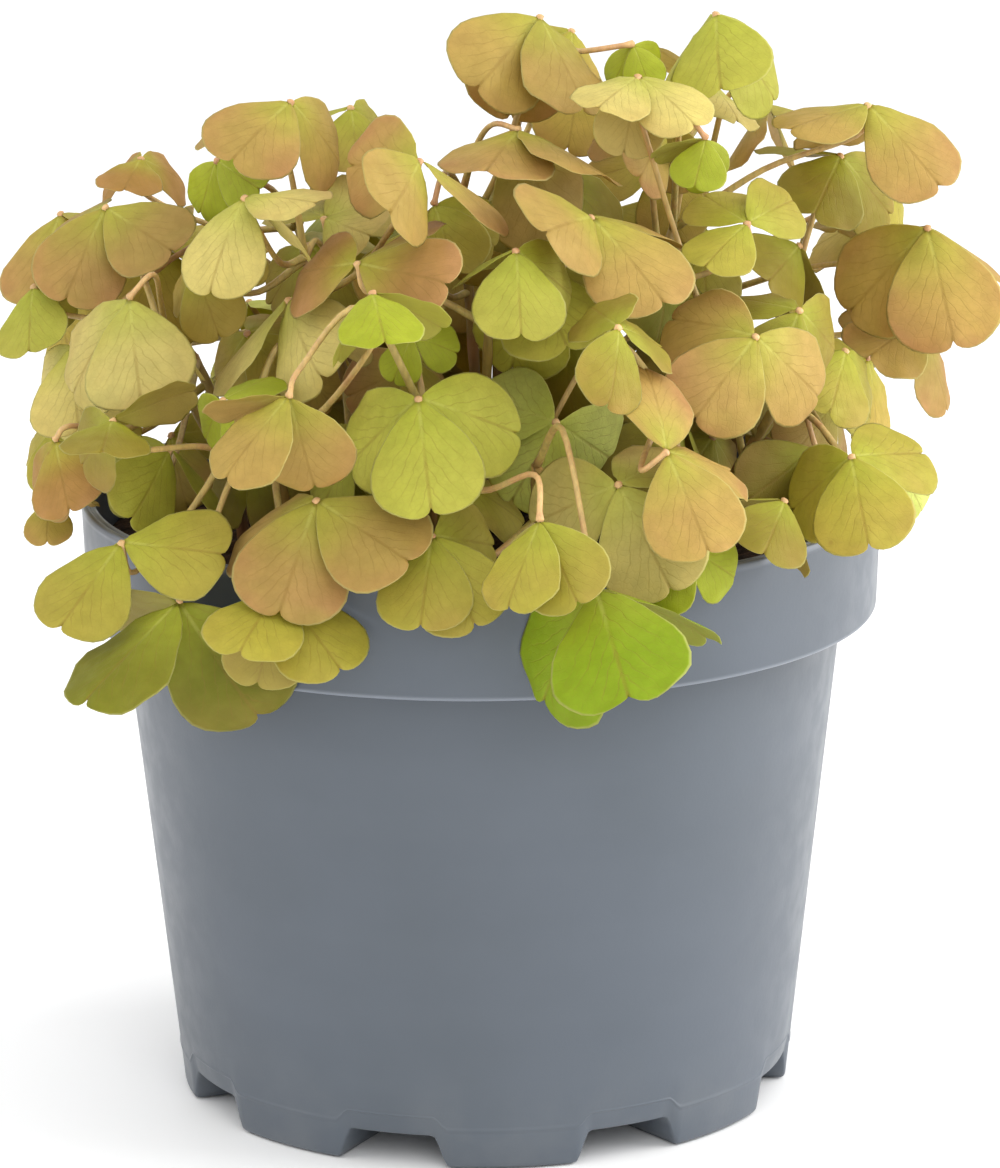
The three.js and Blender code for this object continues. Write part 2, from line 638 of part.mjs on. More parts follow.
// Whether a point lies clear of the pot and the soil by a margin.
function clearOfPot(point, margin) {
  const radius = Math.hypot(point.x, point.y);
  if (point.z > POT_HEIGHT + margin) return true;
  if (radius > potOutside(point.z) + margin) return true;
  const inside = radius < COLLAR_FOOT_RADIUS - RIM_LIP - margin;
  return inside && point.z > SOIL_TOP + SOIL_CROWN + 2 * SOIL_LUMP + margin;
}

function segmentClearOfPot(from, to, margin) {
  const steps = Math.ceil(from.distanceTo(to) / CHECK_STEP) + 1;
  for (let i = 0; i <= steps; i += 1) {
    if (!clearOfPot(from.clone().lerp(to, i / steps), margin)) return false;
  }
  return true;
}

function bladeClearOfPot(blade) {
  const margin = BLADE_DEPTH / 2 + CLEARANCE;
  return blade.triangles.every(({ corners: [a, b, c] }) => {
    const steps = Math.ceil(a.distanceTo(b.clone().lerp(c, 0.5)) / (2 * CHECK_STEP));
    for (let i = 0; i <= steps; i += 1) {
      const from = a.clone().lerp(b, i / steps);
      if (!segmentClearOfPot(from, a.clone().lerp(c, i / steps), margin)) return false;
    }
    return true;
  });
}

// The picture

const forward = vector(
  Math.sin(VIEW_TURN) * Math.cos(VIEW_DOWN),
  Math.cos(VIEW_TURN) * Math.cos(VIEW_DOWN),
  -Math.sin(VIEW_DOWN),
);
const level = vector(Math.cos(VIEW_TURN), -Math.sin(VIEW_TURN), 0);
const pictureRight = level.clone().applyAxisAngle(forward, -VIEW_ROLL);
const pictureUp = pictureRight.clone().cross(forward);

function pictureRay([x, y]) {
  const ray = forward.clone().multiplyScalar(VIEW_FOCAL);
  ray.addScaledVector(pictureRight, x - VIEW_WIDTH / 2);
  return ray.addScaledVector(pictureUp, VIEW_HEIGHT / 2 - y).normalize();
}

function toPicture(point) {
  const offset = point.clone().sub(VIEW_FROM);
  const scale = VIEW_FOCAL / offset.dot(forward);
  return [
    VIEW_WIDTH / 2 + scale * offset.dot(pictureRight),
    VIEW_HEIGHT / 2 - scale * offset.dot(pictureUp),
  ];
}

// Where a ray meets the front of the crown, or comes nearest to the plant's axis where it passes beside it.
function crownPoint(ray) {
  const scale = vector(1 / CROWN.side, 1 / CROWN.front, 1 / CROWN.height);
  const from = VIEW_FROM.clone().sub(vector(0, 0, CROWN.centre)).multiply(scale);
  const direction = ray.clone().multiply(scale);
  const a = direction.dot(direction);
  const b = from.dot(direction);
  const c = from.dot(from) - 1;
  const root = Math.sqrt(Math.max(b * b - a * c, 0));
  const point = along(VIEW_FROM, ray, (-b - root) / a);
  for (let i = 0; i < OVERHANG_STEPS && needsOverhang(point); i += 1) point.addScaledVector(ray, -1);
  return point;
}

// A leaf that hangs beside the pot has to stay outside its rim.
function needsOverhang(point) {
  return point.z < OVERHANG_BELOW && Math.hypot(point.x, point.y) < OVERHANG_RADIUS;
}

// Leaves

// The axis that all three leaflets lean away from alike, on the side that they droop from.
function leafAxis([a, b, c], outward) {
  const axis = b.clone().sub(a).cross(c.clone().sub(a)).normalize();
  const droopSide = a.clone().add(b).add(c).negate().addScaledVector(outward, OUTWARD_LEAN);
  return axis.dot(droopSide) < 0 ? axis.negate() : axis;
}

// A third leaflet that completes two, so that all three droop alike round one axis.
function thirdLeaflet(a, b, outward) {
  const cosine = a.dot(b);
  const droop = THREE.MathUtils.clamp((2 * cosine + 1) / 3, ...DROOP_SQUARES);
  const sine = Math.sqrt(droop);
  const between = a.clone().add(b).multiplyScalar(-sine / (1 + cosine));
  const aside = a.clone().cross(b).normalize();
  const rest = Math.sqrt(Math.max(1 - between.lengthSq(), 0.01));
  const axis = between.addScaledVector(aside, aside.dot(outward) < 0 ? -rest : rest).normalize();
  return axis.multiplyScalar(-3 * sine).sub(a).sub(b).normalize();
}

// An axis that makes one leaflet droop by the usual angle, as near to outward as it can be.
function axisForOne(out, outward) {
  const square = outward.clone().addScaledVector(out, -outward.dot(out)).normalize();
  return square.multiplyScalar(Math.cos(DROOP)).addScaledVector(out, -Math.sin(DROOP)).normalize();
}

// How far a leaf is from a natural one: leaflets evenly spread, drooping by the usual angle, facing outward.
function strangeness(outs, axis, outward) {
  const [a, b, c] = outs;
  const angles = [a.dot(b), b.dot(c), c.dot(a)];
  const sine = -axis.dot(a.clone().add(b).add(c)) / 3;
  const uneven = angles.map(
    (cosine) =>
      Math.max(cosine, FAULTS.spread) ** 2 + FAULTS.crowding * Math.max(cosine - FAULTS.crowded, 0),
  );
  const droop = FAULTS.droop * (sine - Math.sin(DROOP)) ** 2;
  return uneven.reduce((sum, share) => sum + share, droop) + FAULTS.inward * (1 - axis.dot(outward));
}

// The leaves whose notches fall on their picture points, the likeliest first: each leaflet may come
// forward or lean back, and the leaf may be a little larger or smaller.
function frontLeafPoses(entry) {
  const ray = pictureRay(entry.hub);
  const hub = crownPoint(ray);
  const scale = hub.clone().sub(VIEW_FROM).dot(forward) / VIEW_FOCAL;
  const outward = vector(hub.x / CROWN.side, hub.y / CROWN.front, OUTWARD_RISE).normalize();
  const near = entry.near ?? [];
  const far = entry.far ?? [];
  const edge = entry.edge ?? [];
  const notches = [...near, ...far, ...edge];
  const farthest = Math.max(...notches.map(([x, y]) => Math.hypot(x - entry.hub[0], y - entry.hub[1])));
  const size = Math.max(entry.size ?? LEAFLET_LENGTH, (farthest * scale) / NOTCH_AT);
  const poses = [];
  for (let signs = 0; signs < 2 ** notches.length; signs += 1) {
    const alternatives = [];
    for (const growth of GROWTHS) {
      const span = NOTCH_AT * size * growth + LEAFLET_START;
      const spans = notches.map(([x, y], i) => {
        const flat = pictureRight.clone().multiplyScalar((x - entry.hub[0]) * scale);
        flat.addScaledVector(pictureUp, (entry.hub[1] - y) * scale);
        const depth = Math.sqrt(Math.max(span * span - flat.lengthSq(), 0));
        return flat.addScaledVector(forward, (signs >> i) & 1 ? depth : -depth);
      });
      const outs = spans.map((reach) => reach.clone().normalize());
      let axis = null;
      if (outs.length === 1) {
        axis = axisForOne(outs[0], outward);
        outs.push(outs[0].clone().applyAxisAngle(axis, (2 * Math.PI) / 3));
        outs.push(outs[0].clone().applyAxisAngle(axis, (-2 * Math.PI) / 3));
      }
      if (outs.length === 2) outs.push(thirdLeaflet(outs[0], outs[1], outward));
      axis = axis ?? leafAxis(outs, outward);
      const otherSide = notches.filter((notch, i) => (i < near.length) === Boolean((signs >> i) & 1)).length;
      const wrong = FAULTS.side * otherSide + FAULTS.growth * Math.abs(growth - 1);
      const score = strangeness(outs, axis, outward) + wrong;
      const lengths = outs.map((out, i) => {
        const drawn = spans[i] ? (spans[i].length() - LEAFLET_START) / NOTCH_AT : 0;
        return Math.max(drawn, size * growth * HIDDEN_SHARE);
      });
      const ups = outs.map((out, i) => {
        if (i >= notches.length) return axis;
        if (i < near.length + far.length) return along(axis, forward, -FACING).normalize();
        const upright = out.clone().cross(forward);
        const facing = upright.z < 0 ? upright.negate() : upright;
        return facing.normalize().addScaledVector(forward, -EDGE_FACING).normalize();
      });
      alternatives.push({ hub, ray, axis, outs, ups, lengths, score, seen: notches.length });
    }
    alternatives.sort((one, two) => one.score - two.score);
    poses.push(alternatives[0]);
  }
  return poses.sort((one, two) => one.score - two.score).slice(0, POSES_TRIED);
}

// One try at a leaf: moved by shift, with its leaflets twisted so that each slides under the next.
function turnedLeaf(leaf, shift, twist, turns) {
  const hub = leaf.hub.clone().add(shift);
  const ups = leaf.ups.map((up, i) => up.clone().applyAxisAngle(leaf.outs[i], twist));
  const made = makeLeaf(hub, leaf.axis, leaf.outs, ups, leaf.lengths, turns);
  for (const blade of made.blades) blade.seen = blade.index < leaf.seen;
  return made;
}

const placed = { blades: [], rods: [] };
const stems = makeStems();

function makeStems() {
  const made = [];
  for (const ring of STEM_RINGS) {
    for (let i = 0; i < ring.count; i += 1) {
      const angle = (2 * Math.PI * (i + 0.25 + STEM_SCATTER.turn * random())) / ring.count;
      const radial = vector(Math.cos(angle), Math.sin(angle), 0);
      const foot = radial.clone().multiplyScalar(ring.radius);
      const sway = STEM_SCATTER.lean * (random() - 0.5);
      const lean = radial.clone().applyAxisAngle(UP, sway).multiplyScalar(ring.lean);
      const height = ring.top + STEM_SCATTER.height * (random() - 0.5) - SOIL_TOP;
      const bend = foot.clone().addScaledVector(lean, STEM_BEND.out);
      const path = [
        vector(foot.x, foot.y, SOIL_TOP - STEM_ROOT),
        vector(foot.x, foot.y, SOIL_TOP + STEM_UPRIGHT),
        vector(bend.x, bend.y, SOIL_TOP + STEM_BEND.up * height),
        vector(foot.x + lean.x, foot.y + lean.y, SOIL_TOP + height),
      ];
      made.push({ path, leaves: [] });
    }
  }
  for (const stem of made) {
    stem.rods = stem.path.slice(1).map((to, i) => makeRod(stem.path[i], to, STEM_RADIUS));
    placed.rods.push(...stem.rods);
  }
  return made;
}

// Whether the blades are clear of the pot, of all that is placed, and of each other past their bases.
function bladesClear(blades) {
  const gap = BLADE_DEPTH + CLEARANCE;
  const [a, b, c] = blades;
  if (siblingsCross(a, b) || siblingsCross(b, c) || siblingsCross(a, c)) return false;
  return blades.every(
    (blade) =>
      bladeClearOfPot(blade) &&
      !placed.blades.some((other) => bladesNear(blade, other, gap)) &&
      !placed.rods.some((rod) => rodNearBlade(rod, blade)),
  );
}

// Whether new blades would cover a leaflet of the picture that was placed before them.
function hidesEarlier(blades, allowed) {
  const covers = (blade, other) => other.seen && pointsCovered(other, blade) > allowed;
  return blades.some((blade) => placed.blades.some((other) => covers(blade, other)));
}

function pointsCovered(earlier, blade) {
  const offset = Math.hypot(blade.middle.x - earlier.middle.x, blade.middle.z - earlier.middle.z);
  if (offset > COVER_REACH) return 0;
  const nearer = (point) => along(point, forward, -COVER_DEPTH);
  const hidden = earlier.outline.filter((point) => crossesBlade(point, nearer(point), blade));
  const before = blade.outline.filter((point) => liesBefore(point, earlier));
  return hidden.length + before.length;
}

function crossesBlade(from, to, blade) {
  return blade.triangles.some(({ corners }) => passesThrough(from, to, corners));
}

function liesBefore(point, blade) {
  if (Math.abs(point.x - blade.middle.x) > blade.reach + SIGHT_SLACK) return false;
  return crossesBlade(point, along(point, forward, COVER_DEPTH), blade);
}

// At how many places the stalks that were placed earlier pass before new leaflets of the picture.
function stalksBefore(blades) {
  const seen = blades.filter((blade) => blade.seen);
  const passes = ({ from, to }) =>
    STALK_SAMPLES.some((share) => seen.some((blade) => liesBefore(from.clone().lerp(to, share), blade)));
  return placed.rods.filter(passes).length;
}

// The stalk: it leaves a stem upwards and outwards, and comes up to the hub from below its leaflets.
function findStalk(hub, axis, blades, covers) {
  const order = stems
    .map((stem) => ({ stem, distance: stem.path[3].distanceTo(hub) + BUSY_STEM * stem.leaves.length }))
    .sort((one, two) => one.distance - two.distance)
    .slice(0, NEAREST_STEMS);
  for (const neck of STALK_NECKS) {
    const inward = vector(-hub.x, -hub.y, 0).normalize();
    for (const [back, inwards, up] of STALK_ARRIVALS) {
      const into = axis.clone().multiplyScalar(-back).addScaledVector(inward, inwards);
      into.addScaledVector(UP, up).normalize();
      const bend = along(hub, into, neck);
      const neckTop = along(hub, into, NECK_SPAN.pot);
      if (!segmentClearOfPot(bend, neckTop, STALK_RADIUS + CLEARANCE)) continue;
      const last = makeRod(bend, along(hub, into, NECK_SPAN.leaflets), STALK_RADIUS);
      if (!rodClear(last, blades, null)) continue;
      for (const { stem } of order) {
        for (const height of ROOT_HEIGHTS) {
          for (const rise of STALK_RISES) {
            const route = stalkRoute(stem, height, rise, bend, hub);
            if (routeClear(route, stem, blades, covers)) return { stem, route };
          }
        }
      }
    }
  }
  return null;
}

function stalkRoute(stem, height, rise, bend, hub) {
  const root = stem.path[2].clone().lerp(stem.path[3], height - ROOT_BELOW_TIP);
  const middle = root.clone().lerp(bend, 0.5).addScaledVector(UP, rise);
  return [root, middle, bend, hub];
}

function routeClear([root, middle, bend], stem, blades, covers) {
  const checked = [middle, bend, middle.clone().lerp(bend, 0.5)];
  if (!checked.every((point) => insideOutline(toPicture(point)))) return false;
  const start = root.clone().lerp(middle, Math.min(ROOT_SPAN / root.distanceTo(middle), 0.5));
  const legs = [makeRod(start, middle, STALK_RADIUS), makeRod(middle, bend, STALK_RADIUS)];
  const clear = legs.every(
    (rod, i) =>
      segmentClearOfPot(rod.from, rod.to, STALK_RADIUS + CLEARANCE) &&
      rodClear(rod, blades, i === 0 ? stem : null),
  );
  return clear && placesBefore(legs, blades) <= covers;
}

// At how many places along it a new stalk would pass before leaflets of the picture.
function placesBefore(legs, blades) {
  const samples = legs.flatMap(({ from, to }) => STALK_SAMPLES.map((share) => from.clone().lerp(to, share)));
  const seen = [...placed.blades, ...blades].filter((blade) => blade.seen);
  return samples.filter((point) => seen.some((blade) => liesBefore(point, blade))).length;
}

function rodClear(rod, blades, ownStem) {
  if (blades.some((blade) => rodNearBlade(rod, blade))) return false;
  if (placed.blades.some((blade) => rodNearBlade(rod, blade))) return false;
  return !placed.rods.some((other) => !(ownStem && ownStem.rods.includes(other)) && rodsNear(rod, other));
}

function keepLeaf(leaf, { stem, route }) {
  const rods = route.slice(1).map((to, i) => makeRod(route[i], to, STALK_RADIUS));
  placed.rods.push(...rods);
  placed.blades.push(...leaf.blades);
  stem.leaves.push({ leaf, route });
}

function placeLeaf(leaf, shifts, turns, allowed) {
  for (const twist of TWISTS) {
    for (const shift of shifts) {
      const made = turnedLeaf(leaf, shift, twist, turns);
      if (!allowed(made.blades) || !bladesClear(made.blades)) continue;
      const tryStalk = (found, covers) => found ?? findStalk(made.hub, made.axis, made.blades, covers);
      const stalk = STALK_COVERS.reduce(tryStalk, null);
      if (stalk) {
        keepLeaf(made, stalk);
        return true;
      }
    }
  }
  return false;
}

// Leaves of the picture move along the line of sight until they are clear, deeper ones first.
function placeFrontLeaves() {
  for (const entry of FRONT_LEAVES) {
    const poses = frontLeafPoses(entry);
    COVER_LIMITS.some(({ points, stalks }) => {
      const allowed = (blades) =>
        !hidesEarlier(blades, points) &&
        stalksBefore(blades) <= stalks &&
        blades.every((blade) => blade.seen || pointsOutside(blade) <= STRAY_POINTS);
      return poses.some((leaf) => {
        const shifts = DEPTH_SHIFTS.map((depth) => leaf.ray.clone().multiplyScalar(depth));
        return placeLeaf(leaf, shifts, FRONT_TURNS, allowed);
      });
    });
  }
}

function insideOutline([x, y]) {
  let inside = false;
  FOLIAGE_OUTLINE.forEach(([x1, y1], i) => {
    const [x2, y2] = FOLIAGE_OUTLINE[(i + 1) % FOLIAGE_OUTLINE.length];
    if (y1 > y !== y2 > y && x < ((x2 - x1) * (y - y1)) / (y2 - y1) + x1) inside = !inside;
  });
  return inside;
}

function pointsOutside(blade) {
  return blade.outline.filter((point) => !insideOutline(toPicture(point))).length;
}

function staysBehind(blades) {
  return blades.every((blade) => pointsOutside(blade) === 0) && !hidesEarlier(blades, COVER_LIMITS[0].points);
}

// Leaves deeper in the crown, set where the picture would else show through between the nearer ones.
function placeInnerLeaves() {
  const { count, tries, depth, length, lowest } = INNER_LEAVES;
  let made = 0;
  for (let i = 0; i < tries && made < count; i += 1) {
    const pixel = [VIEW_WIDTH * random(), lowest * random()];
    const ray = pictureRay(pixel);
    const end = along(VIEW_FROM, ray, SIGHT_LENGTH);
    if (!insideOutline(pixel) || placed.blades.some((blade) => crossesBlade(VIEW_FROM, end, blade))) continue;
    const spot = along(crownPoint(ray), ray, THREE.MathUtils.lerp(...depth, random()));
    const lean = spot.y / CROWN.front - INNER_LEAN;
    const axis = vector(spot.x / CROWN.side, lean, OUTWARD_RISE).normalize();
    const size = THREE.MathUtils.lerp(...length, random());
    const leaf = ruleLeaf(spot, axis, size, random() * 2 * Math.PI);
    const lowestOut = leaf.outs.reduce((low, out) => (out.z < low.z ? out : low));
    leaf.hub = along(spot, lowestOut, -LEAFLET_MIDDLE * size);
    leaf.ups = leaf.ups.map((up) => along(up, forward, -INNER_FACING).normalize());
    const shifts = INNER_SHIFTS.map((shift) => ray.clone().multiplyScalar(shift));
    if (placeLeaf(leaf, shifts, BACK_TURNS, staysBehind)) made += 1;
  }
}

// Leaves that the picture hides are spread evenly over shells of the crown, from the outside in.
function placeBackLeaves() {
  for (const { side, back, height, base, count, tries } of BACK_SHELLS) {
    let made = 0;
    for (let i = 0; i < tries && made < count; i += 1) {
      const rise = random();
      const angle = 2 * Math.PI * random();
      const around = Math.sqrt(1 - rise * rise);
      const away = vector(Math.cos(angle) * around, Math.sin(angle) * around, rise);
      const hub = vector(away.x * side, away.y * back, base + away.z * height);
      if (!insideOutline(toPicture(along(hub, UP, BACK_MARGIN)))) continue;
      const axis = away.clone().lerp(UP, BACK_UPRIGHT).normalize();
      const size = THREE.MathUtils.lerp(...BACK_LENGTH, random());
      const leaf = ruleLeaf(hub, axis, size, random() * 2 * Math.PI);
      const shifts = BACK_SHIFTS.map((depthIn) => away.clone().multiplyScalar(-depthIn));
      if (placeLeaf(leaf, shifts, BACK_TURNS, staysBehind)) made += 1;
    }
  }
}

function ruleLeaf(hub, axis, size, spin) {
  const square = Math.abs(axis.z) < 0.9 ? UP : vector(1, 0, 0);
  const first = square.clone().addScaledVector(axis, -square.dot(axis)).normalize();
  const outs = [0, 1, 2].map((k) => {
    const flat = first.clone().applyAxisAngle(axis, spin + (2 * Math.PI * k) / 3);
    return flat.multiplyScalar(Math.cos(DROOP)).addScaledVector(axis, -Math.sin(DROOP)).normalize();
  });
  return { hub, axis, outs, ups: [axis, axis, axis], lengths: [size, size, size], seen: 0 };
}

placeFrontLeaves();
placeInnerLeaves();
placeBackLeaves();

function stemSolid(stem) {
  let solid = tubeSolid(stem.path, stem.path.map(() => STEM_RADIUS), STEM_SIDES);
  for (const { leaf, route } of stem.leaves) solid = solid.add(leafSolid(leaf, route));
  return solid;
}

// The finished object

const plant = new THREE.Group();

function addMesh(name, solid, color, roughness) {
  const material = new THREE.MeshStandardMaterial({ color, roughness, metalness: 0 });
  const mesh = new THREE.Mesh(geometryOf(solid), material);
  mesh.name = name;
  plant.add(mesh);
}

const leafyStems = stems.filter((stem) => stem.leaves.length > 0);
addMesh("pot", potSolid(), 0x6f7985, 0.45);
addMesh("soil", soilSolid(leafyStems), 0x1c120a, 0.95);
leafyStems.forEach((stem, i) => {
  addMesh(`leafy_stem_${String(i + 1).padStart(2, "0")}`, stemSolid(stem), 0xb3a552, 0.6);
});

export default plant;
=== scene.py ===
# %% [markdown]
# # A potted oxalis
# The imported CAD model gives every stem, stalk and leaf its place. This script reads those places back from
# the model, grows finer leaves, stalks, soil and pot on them, and gives each surface a painted look.

from itertools import combinations

import bpy
import numpy as np
from mathutils import Matrix, Vector


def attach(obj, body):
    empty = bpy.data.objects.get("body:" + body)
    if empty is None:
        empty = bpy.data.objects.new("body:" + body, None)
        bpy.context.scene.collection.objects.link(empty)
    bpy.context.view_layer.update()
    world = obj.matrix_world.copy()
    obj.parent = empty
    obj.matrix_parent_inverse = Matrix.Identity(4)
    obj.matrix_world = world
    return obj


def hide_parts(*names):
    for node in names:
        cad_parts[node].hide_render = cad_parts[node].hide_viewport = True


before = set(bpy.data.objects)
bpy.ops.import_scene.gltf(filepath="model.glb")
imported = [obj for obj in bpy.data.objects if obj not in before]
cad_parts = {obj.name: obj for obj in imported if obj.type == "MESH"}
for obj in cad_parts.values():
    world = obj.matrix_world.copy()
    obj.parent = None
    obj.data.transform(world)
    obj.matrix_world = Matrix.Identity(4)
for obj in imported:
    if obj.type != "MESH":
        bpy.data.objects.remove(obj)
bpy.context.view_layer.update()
MM = 0.001
SEED = 11
rng = np.random.default_rng(SEED)
print("nodes:", len(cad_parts))

# %% [markdown]
# ## Reading the CAD meshes
# A node's mesh comes back as a list of points in millimetres and a list of triangles. Points that lie on
# one spot are joined, so that neighbouring triangles share them.

# %% Points and triangles of a node
JOIN_DIGITS = 3
SHORTEST = 1e-12


def node_mesh(name):
    """The node's points in millimetres, and its triangles as rows of three point numbers."""
    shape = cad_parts[name]
    mesh = shape.data
    places = np.empty(len(mesh.vertices) * 3)
    mesh.vertices.foreach_get("co", places)
    mesh.calc_loop_triangles()
    corners = np.empty(len(mesh.loop_triangles) * 3, dtype=np.int32)
    mesh.loop_triangles.foreach_get("vertices", corners)
    turn = np.array(shape.matrix_world)
    points = places.reshape(-1, 3) @ turn[:3, :3].T + turn[:3, 3]
    points, same = np.unique(np.round(points / MM, JOIN_DIGITS), axis=0, return_inverse=True)
    return points, same.reshape(-1)[corners].reshape(-1, 3)


def unit(vectors):
    """The vectors with length 1."""
    return vectors / np.maximum(np.linalg.norm(vectors, axis=-1, keepdims=True), SHORTEST)


# %% [markdown]
# ## Finding the leaflets
# In the CAD model a leaflet is a thin blade with a folded, heart-shaped outline. Each half is flat, and its
# corners lie on one known curve. So any triangle of three such corners tells where its leaflet's midrib
# runs and how long the leaflet is, and two halves that share a notch tell which side is up.

# %% The leaflet's outline, in leaflet lengths
HALF_WIDTH, WIDTH_POWER, TIP_WEIGHT = 0.465, 1.3, 0.13
LENGTH_POWER, LENGTH_SCALE, NOTCH_DEPTH, NOTCH_SPREAD = 0.78, 1.04, 0.11, np.radians(13)
NOTCH_AT = LENGTH_SCALE - NOTCH_DEPTH
LEAFLET_START = 0.3


def outline(turn):
    """The leaflet's right edge, from its notch at turn 0 to its base at turn pi:
    x = 0.465 sin(turn)^1.3 (1 + 0.13 cos(turn)),
    y = 1.04 ((1 + cos(turn)) / 2)^0.78 - 0.11 exp(-turn / 13 degrees)."""
    x = HALF_WIDTH * np.sin(turn) ** WIDTH_POWER * (1 + TIP_WEIGHT * np.cos(turn))
    y = LENGTH_SCALE * ((1 + np.cos(turn)) / 2) ** LENGTH_POWER
    return x, y - NOTCH_DEPTH * np.exp(-turn / NOTCH_SPREAD)


print("notch at", round(NOTCH_AT, 3), "of the leaflet's length")

# %% Triangles that fit on a half blade
FOLD, BLADE_DEPTH = 0.2, 0.62
CORNER_TURNS = [np.radians([27, 56, 87, 120]), np.radians([34, 98])]
CORNER_ORDERS = ((0, 1, 2), (1, 2, 0), (2, 0, 1), (0, 2, 1), (2, 1, 0), (1, 0, 2))
SIDE_SLACK, SMALLEST_SIZE, LARGEST_SIZE = 0.0015, 4, 27


def half_blades(points, triangles):
    """Rows of (size, notch, sideways, midrib, face normal), one for each way that a triangle's corners fit
    on half an outline. The fit compares the triangle's three sides with those of three outline corners."""
    corners = points[triangles]
    normals = unit(np.cross(corners[:, 1] - corners[:, 0], corners[:, 2] - corners[:, 0]))
    rows = []
    for turns in CORNER_TURNS:
        x, y = outline(turns)
        flat = np.vstack([[0, NOTCH_AT], np.stack([x * np.hypot(1, FOLD), y], axis=1)])
        for chosen in combinations(range(len(flat)), 3):
            a, b, c = flat[list(chosen)]
            sides = np.array([np.hypot(*(b - a)), np.hypot(*(c - b)), np.hypot(*(c - a))])
            solve = np.linalg.inv(np.stack([b - a, c - a]))
            for order in CORNER_ORDERS:
                p, q, r = (corners[:, k] for k in order)
                found = np.linalg.norm(np.stack([q - p, r - q, r - p], axis=1), axis=2)
                size = found.sum(axis=1) / sides.sum()
                match = np.abs(found / size[:, None] - sides).max(axis=1) < SIDE_SLACK
                match &= (size > SMALLEST_SIZE) & (size < LARGEST_SIZE)
                length = size[match, None]
                spans = np.stack([q - p, r - p], axis=1)[match] / length[:, None]
                axes = np.einsum("ij,njk->nik", solve, spans)
                notch = p[match] + length * (-a[0] * axes[:, 0] + (NOTCH_AT - a[1]) * axes[:, 1])
                rows.append(np.hstack([length, notch, axes[:, 0], axes[:, 1], normals[match]]))
    return np.vstack(rows)


# %% Leaflets from pairs of halves
NOTCH_SLACK, SAME_WAY, SPOT_SIZE, TWIN_GAP, HUB_SLACK = 0.012, 0.9995, 0.2, 0.5, 0.15
# Where the vectors start in a half blade's row and in a leaflet's row.
HALF_VECTORS, LEAFLET_VECTORS = (1, 4, 7, 10), (1, 4, 7)


def find_leaflets(points, triangles):
    """Rows of (size, base, midrib, up) in millimetres, one for each leaflet of the node."""
    rows = half_blades(points, triangles)
    size = rows[:, 0]
    notch, sideways, midrib, normal = (rows[:, k : k + 3] for k in HALF_VECTORS)
    near = np.linalg.norm(notch[:, None] - notch[None], axis=2) < NOTCH_SLACK
    near &= midrib @ midrib.T > SAME_WAY
    near &= sideways @ sideways.T < 0
    first, second = np.where(np.triu(near))
    up = unit(-(sideways[first] + sideways[second]))
    side = np.sign(np.einsum("ij,ij->i", normal[first] + normal[second], up))
    middle = (notch[first] + notch[second]) / 2 - side[:, None] * up * BLADE_DEPTH / 2
    length = size[first, None]
    found = np.hstack([length, middle - midrib[first] * NOTCH_AT * length, midrib[first], up])
    _, once = np.unique(np.round(middle / SPOT_SIZE).astype(int), axis=0, return_index=True)
    leaflets, tips = [], []
    for row in found[np.sort(once)]:
        reach, base, along, _ = np.split(row, LEAFLET_VECTORS)
        tip = base + along * reach
        if all(np.linalg.norm(tip - other) > TWIN_GAP for other in tips):
            leaflets.append(row)
            tips.append(tip)
    return np.array(leaflets)


def sort_into_leaves(leaflets):
    """Each leaflet's leaf number, and each leaf's hub, the spot near which its leaflets start."""
    leaf_of, hubs = [], []
    base, midrib = (leaflets[:, k : k + 3] for k in LEAFLET_VECTORS[:2])
    for start in base - midrib * LEAFLET_START:
        known = [k for k, hub in enumerate(hubs) if np.linalg.norm(hub - start) < HUB_SLACK]
        if not known:
            known = [len(hubs)]
            hubs.append(start)
        leaf_of.append(known[0])
    return np.array(leaf_of), np.array(hubs)


# %% [markdown]
# ## Finding the stalks and stems
# A stalk is a tube with three sides and a stem a tube with five. Their cross-sections are rings of equal
# edges, so the edges of just that length give the rings, and edges between two rings give the path.

# %% Rings of equal edges
EDGE_SLACK = 0.004


def edges_of(triangles):
    """Every edge of the triangles once, as rows of two point numbers."""
    edges = np.vstack([triangles[:, [0, 1]], triangles[:, [1, 2]], triangles[:, [2, 0]]])
    return np.unique(np.sort(edges, axis=1), axis=0)


def linked_groups(count, edges):
    """A group number for each of count points, the same for points that edges join."""
    group = np.arange(count)
    while True:
        smaller = group.copy()
        np.minimum.at(smaller, edges[:, 0], group[edges[:, 1]])
        np.minimum.at(smaller, edges[:, 1], group[edges[:, 0]])
        smaller = smaller[smaller]
        if (smaller == group).all():
            return group
        group = smaller


def find_rings(points, edges, radius, sides):
    """A list of rings of this radius, each an array of point numbers. Their edges are
    2 radius sin(pi / sides) long."""
    length = 2 * radius * np.sin(np.pi / sides)
    spans = np.linalg.norm(points[edges[:, 0]] - points[edges[:, 1]], axis=1)
    group = linked_groups(len(points), edges[np.abs(spans - length) < EDGE_SLACK])
    names, counts = np.unique(group, return_counts=True)
    return [np.where(group == name)[0] for name in names[counts == sides]]


# %% Stems
STEM_RADIUS, STEM_SIDES, STEM_RINGS, TOP_EDGES = 1.05, 5, 4, 3


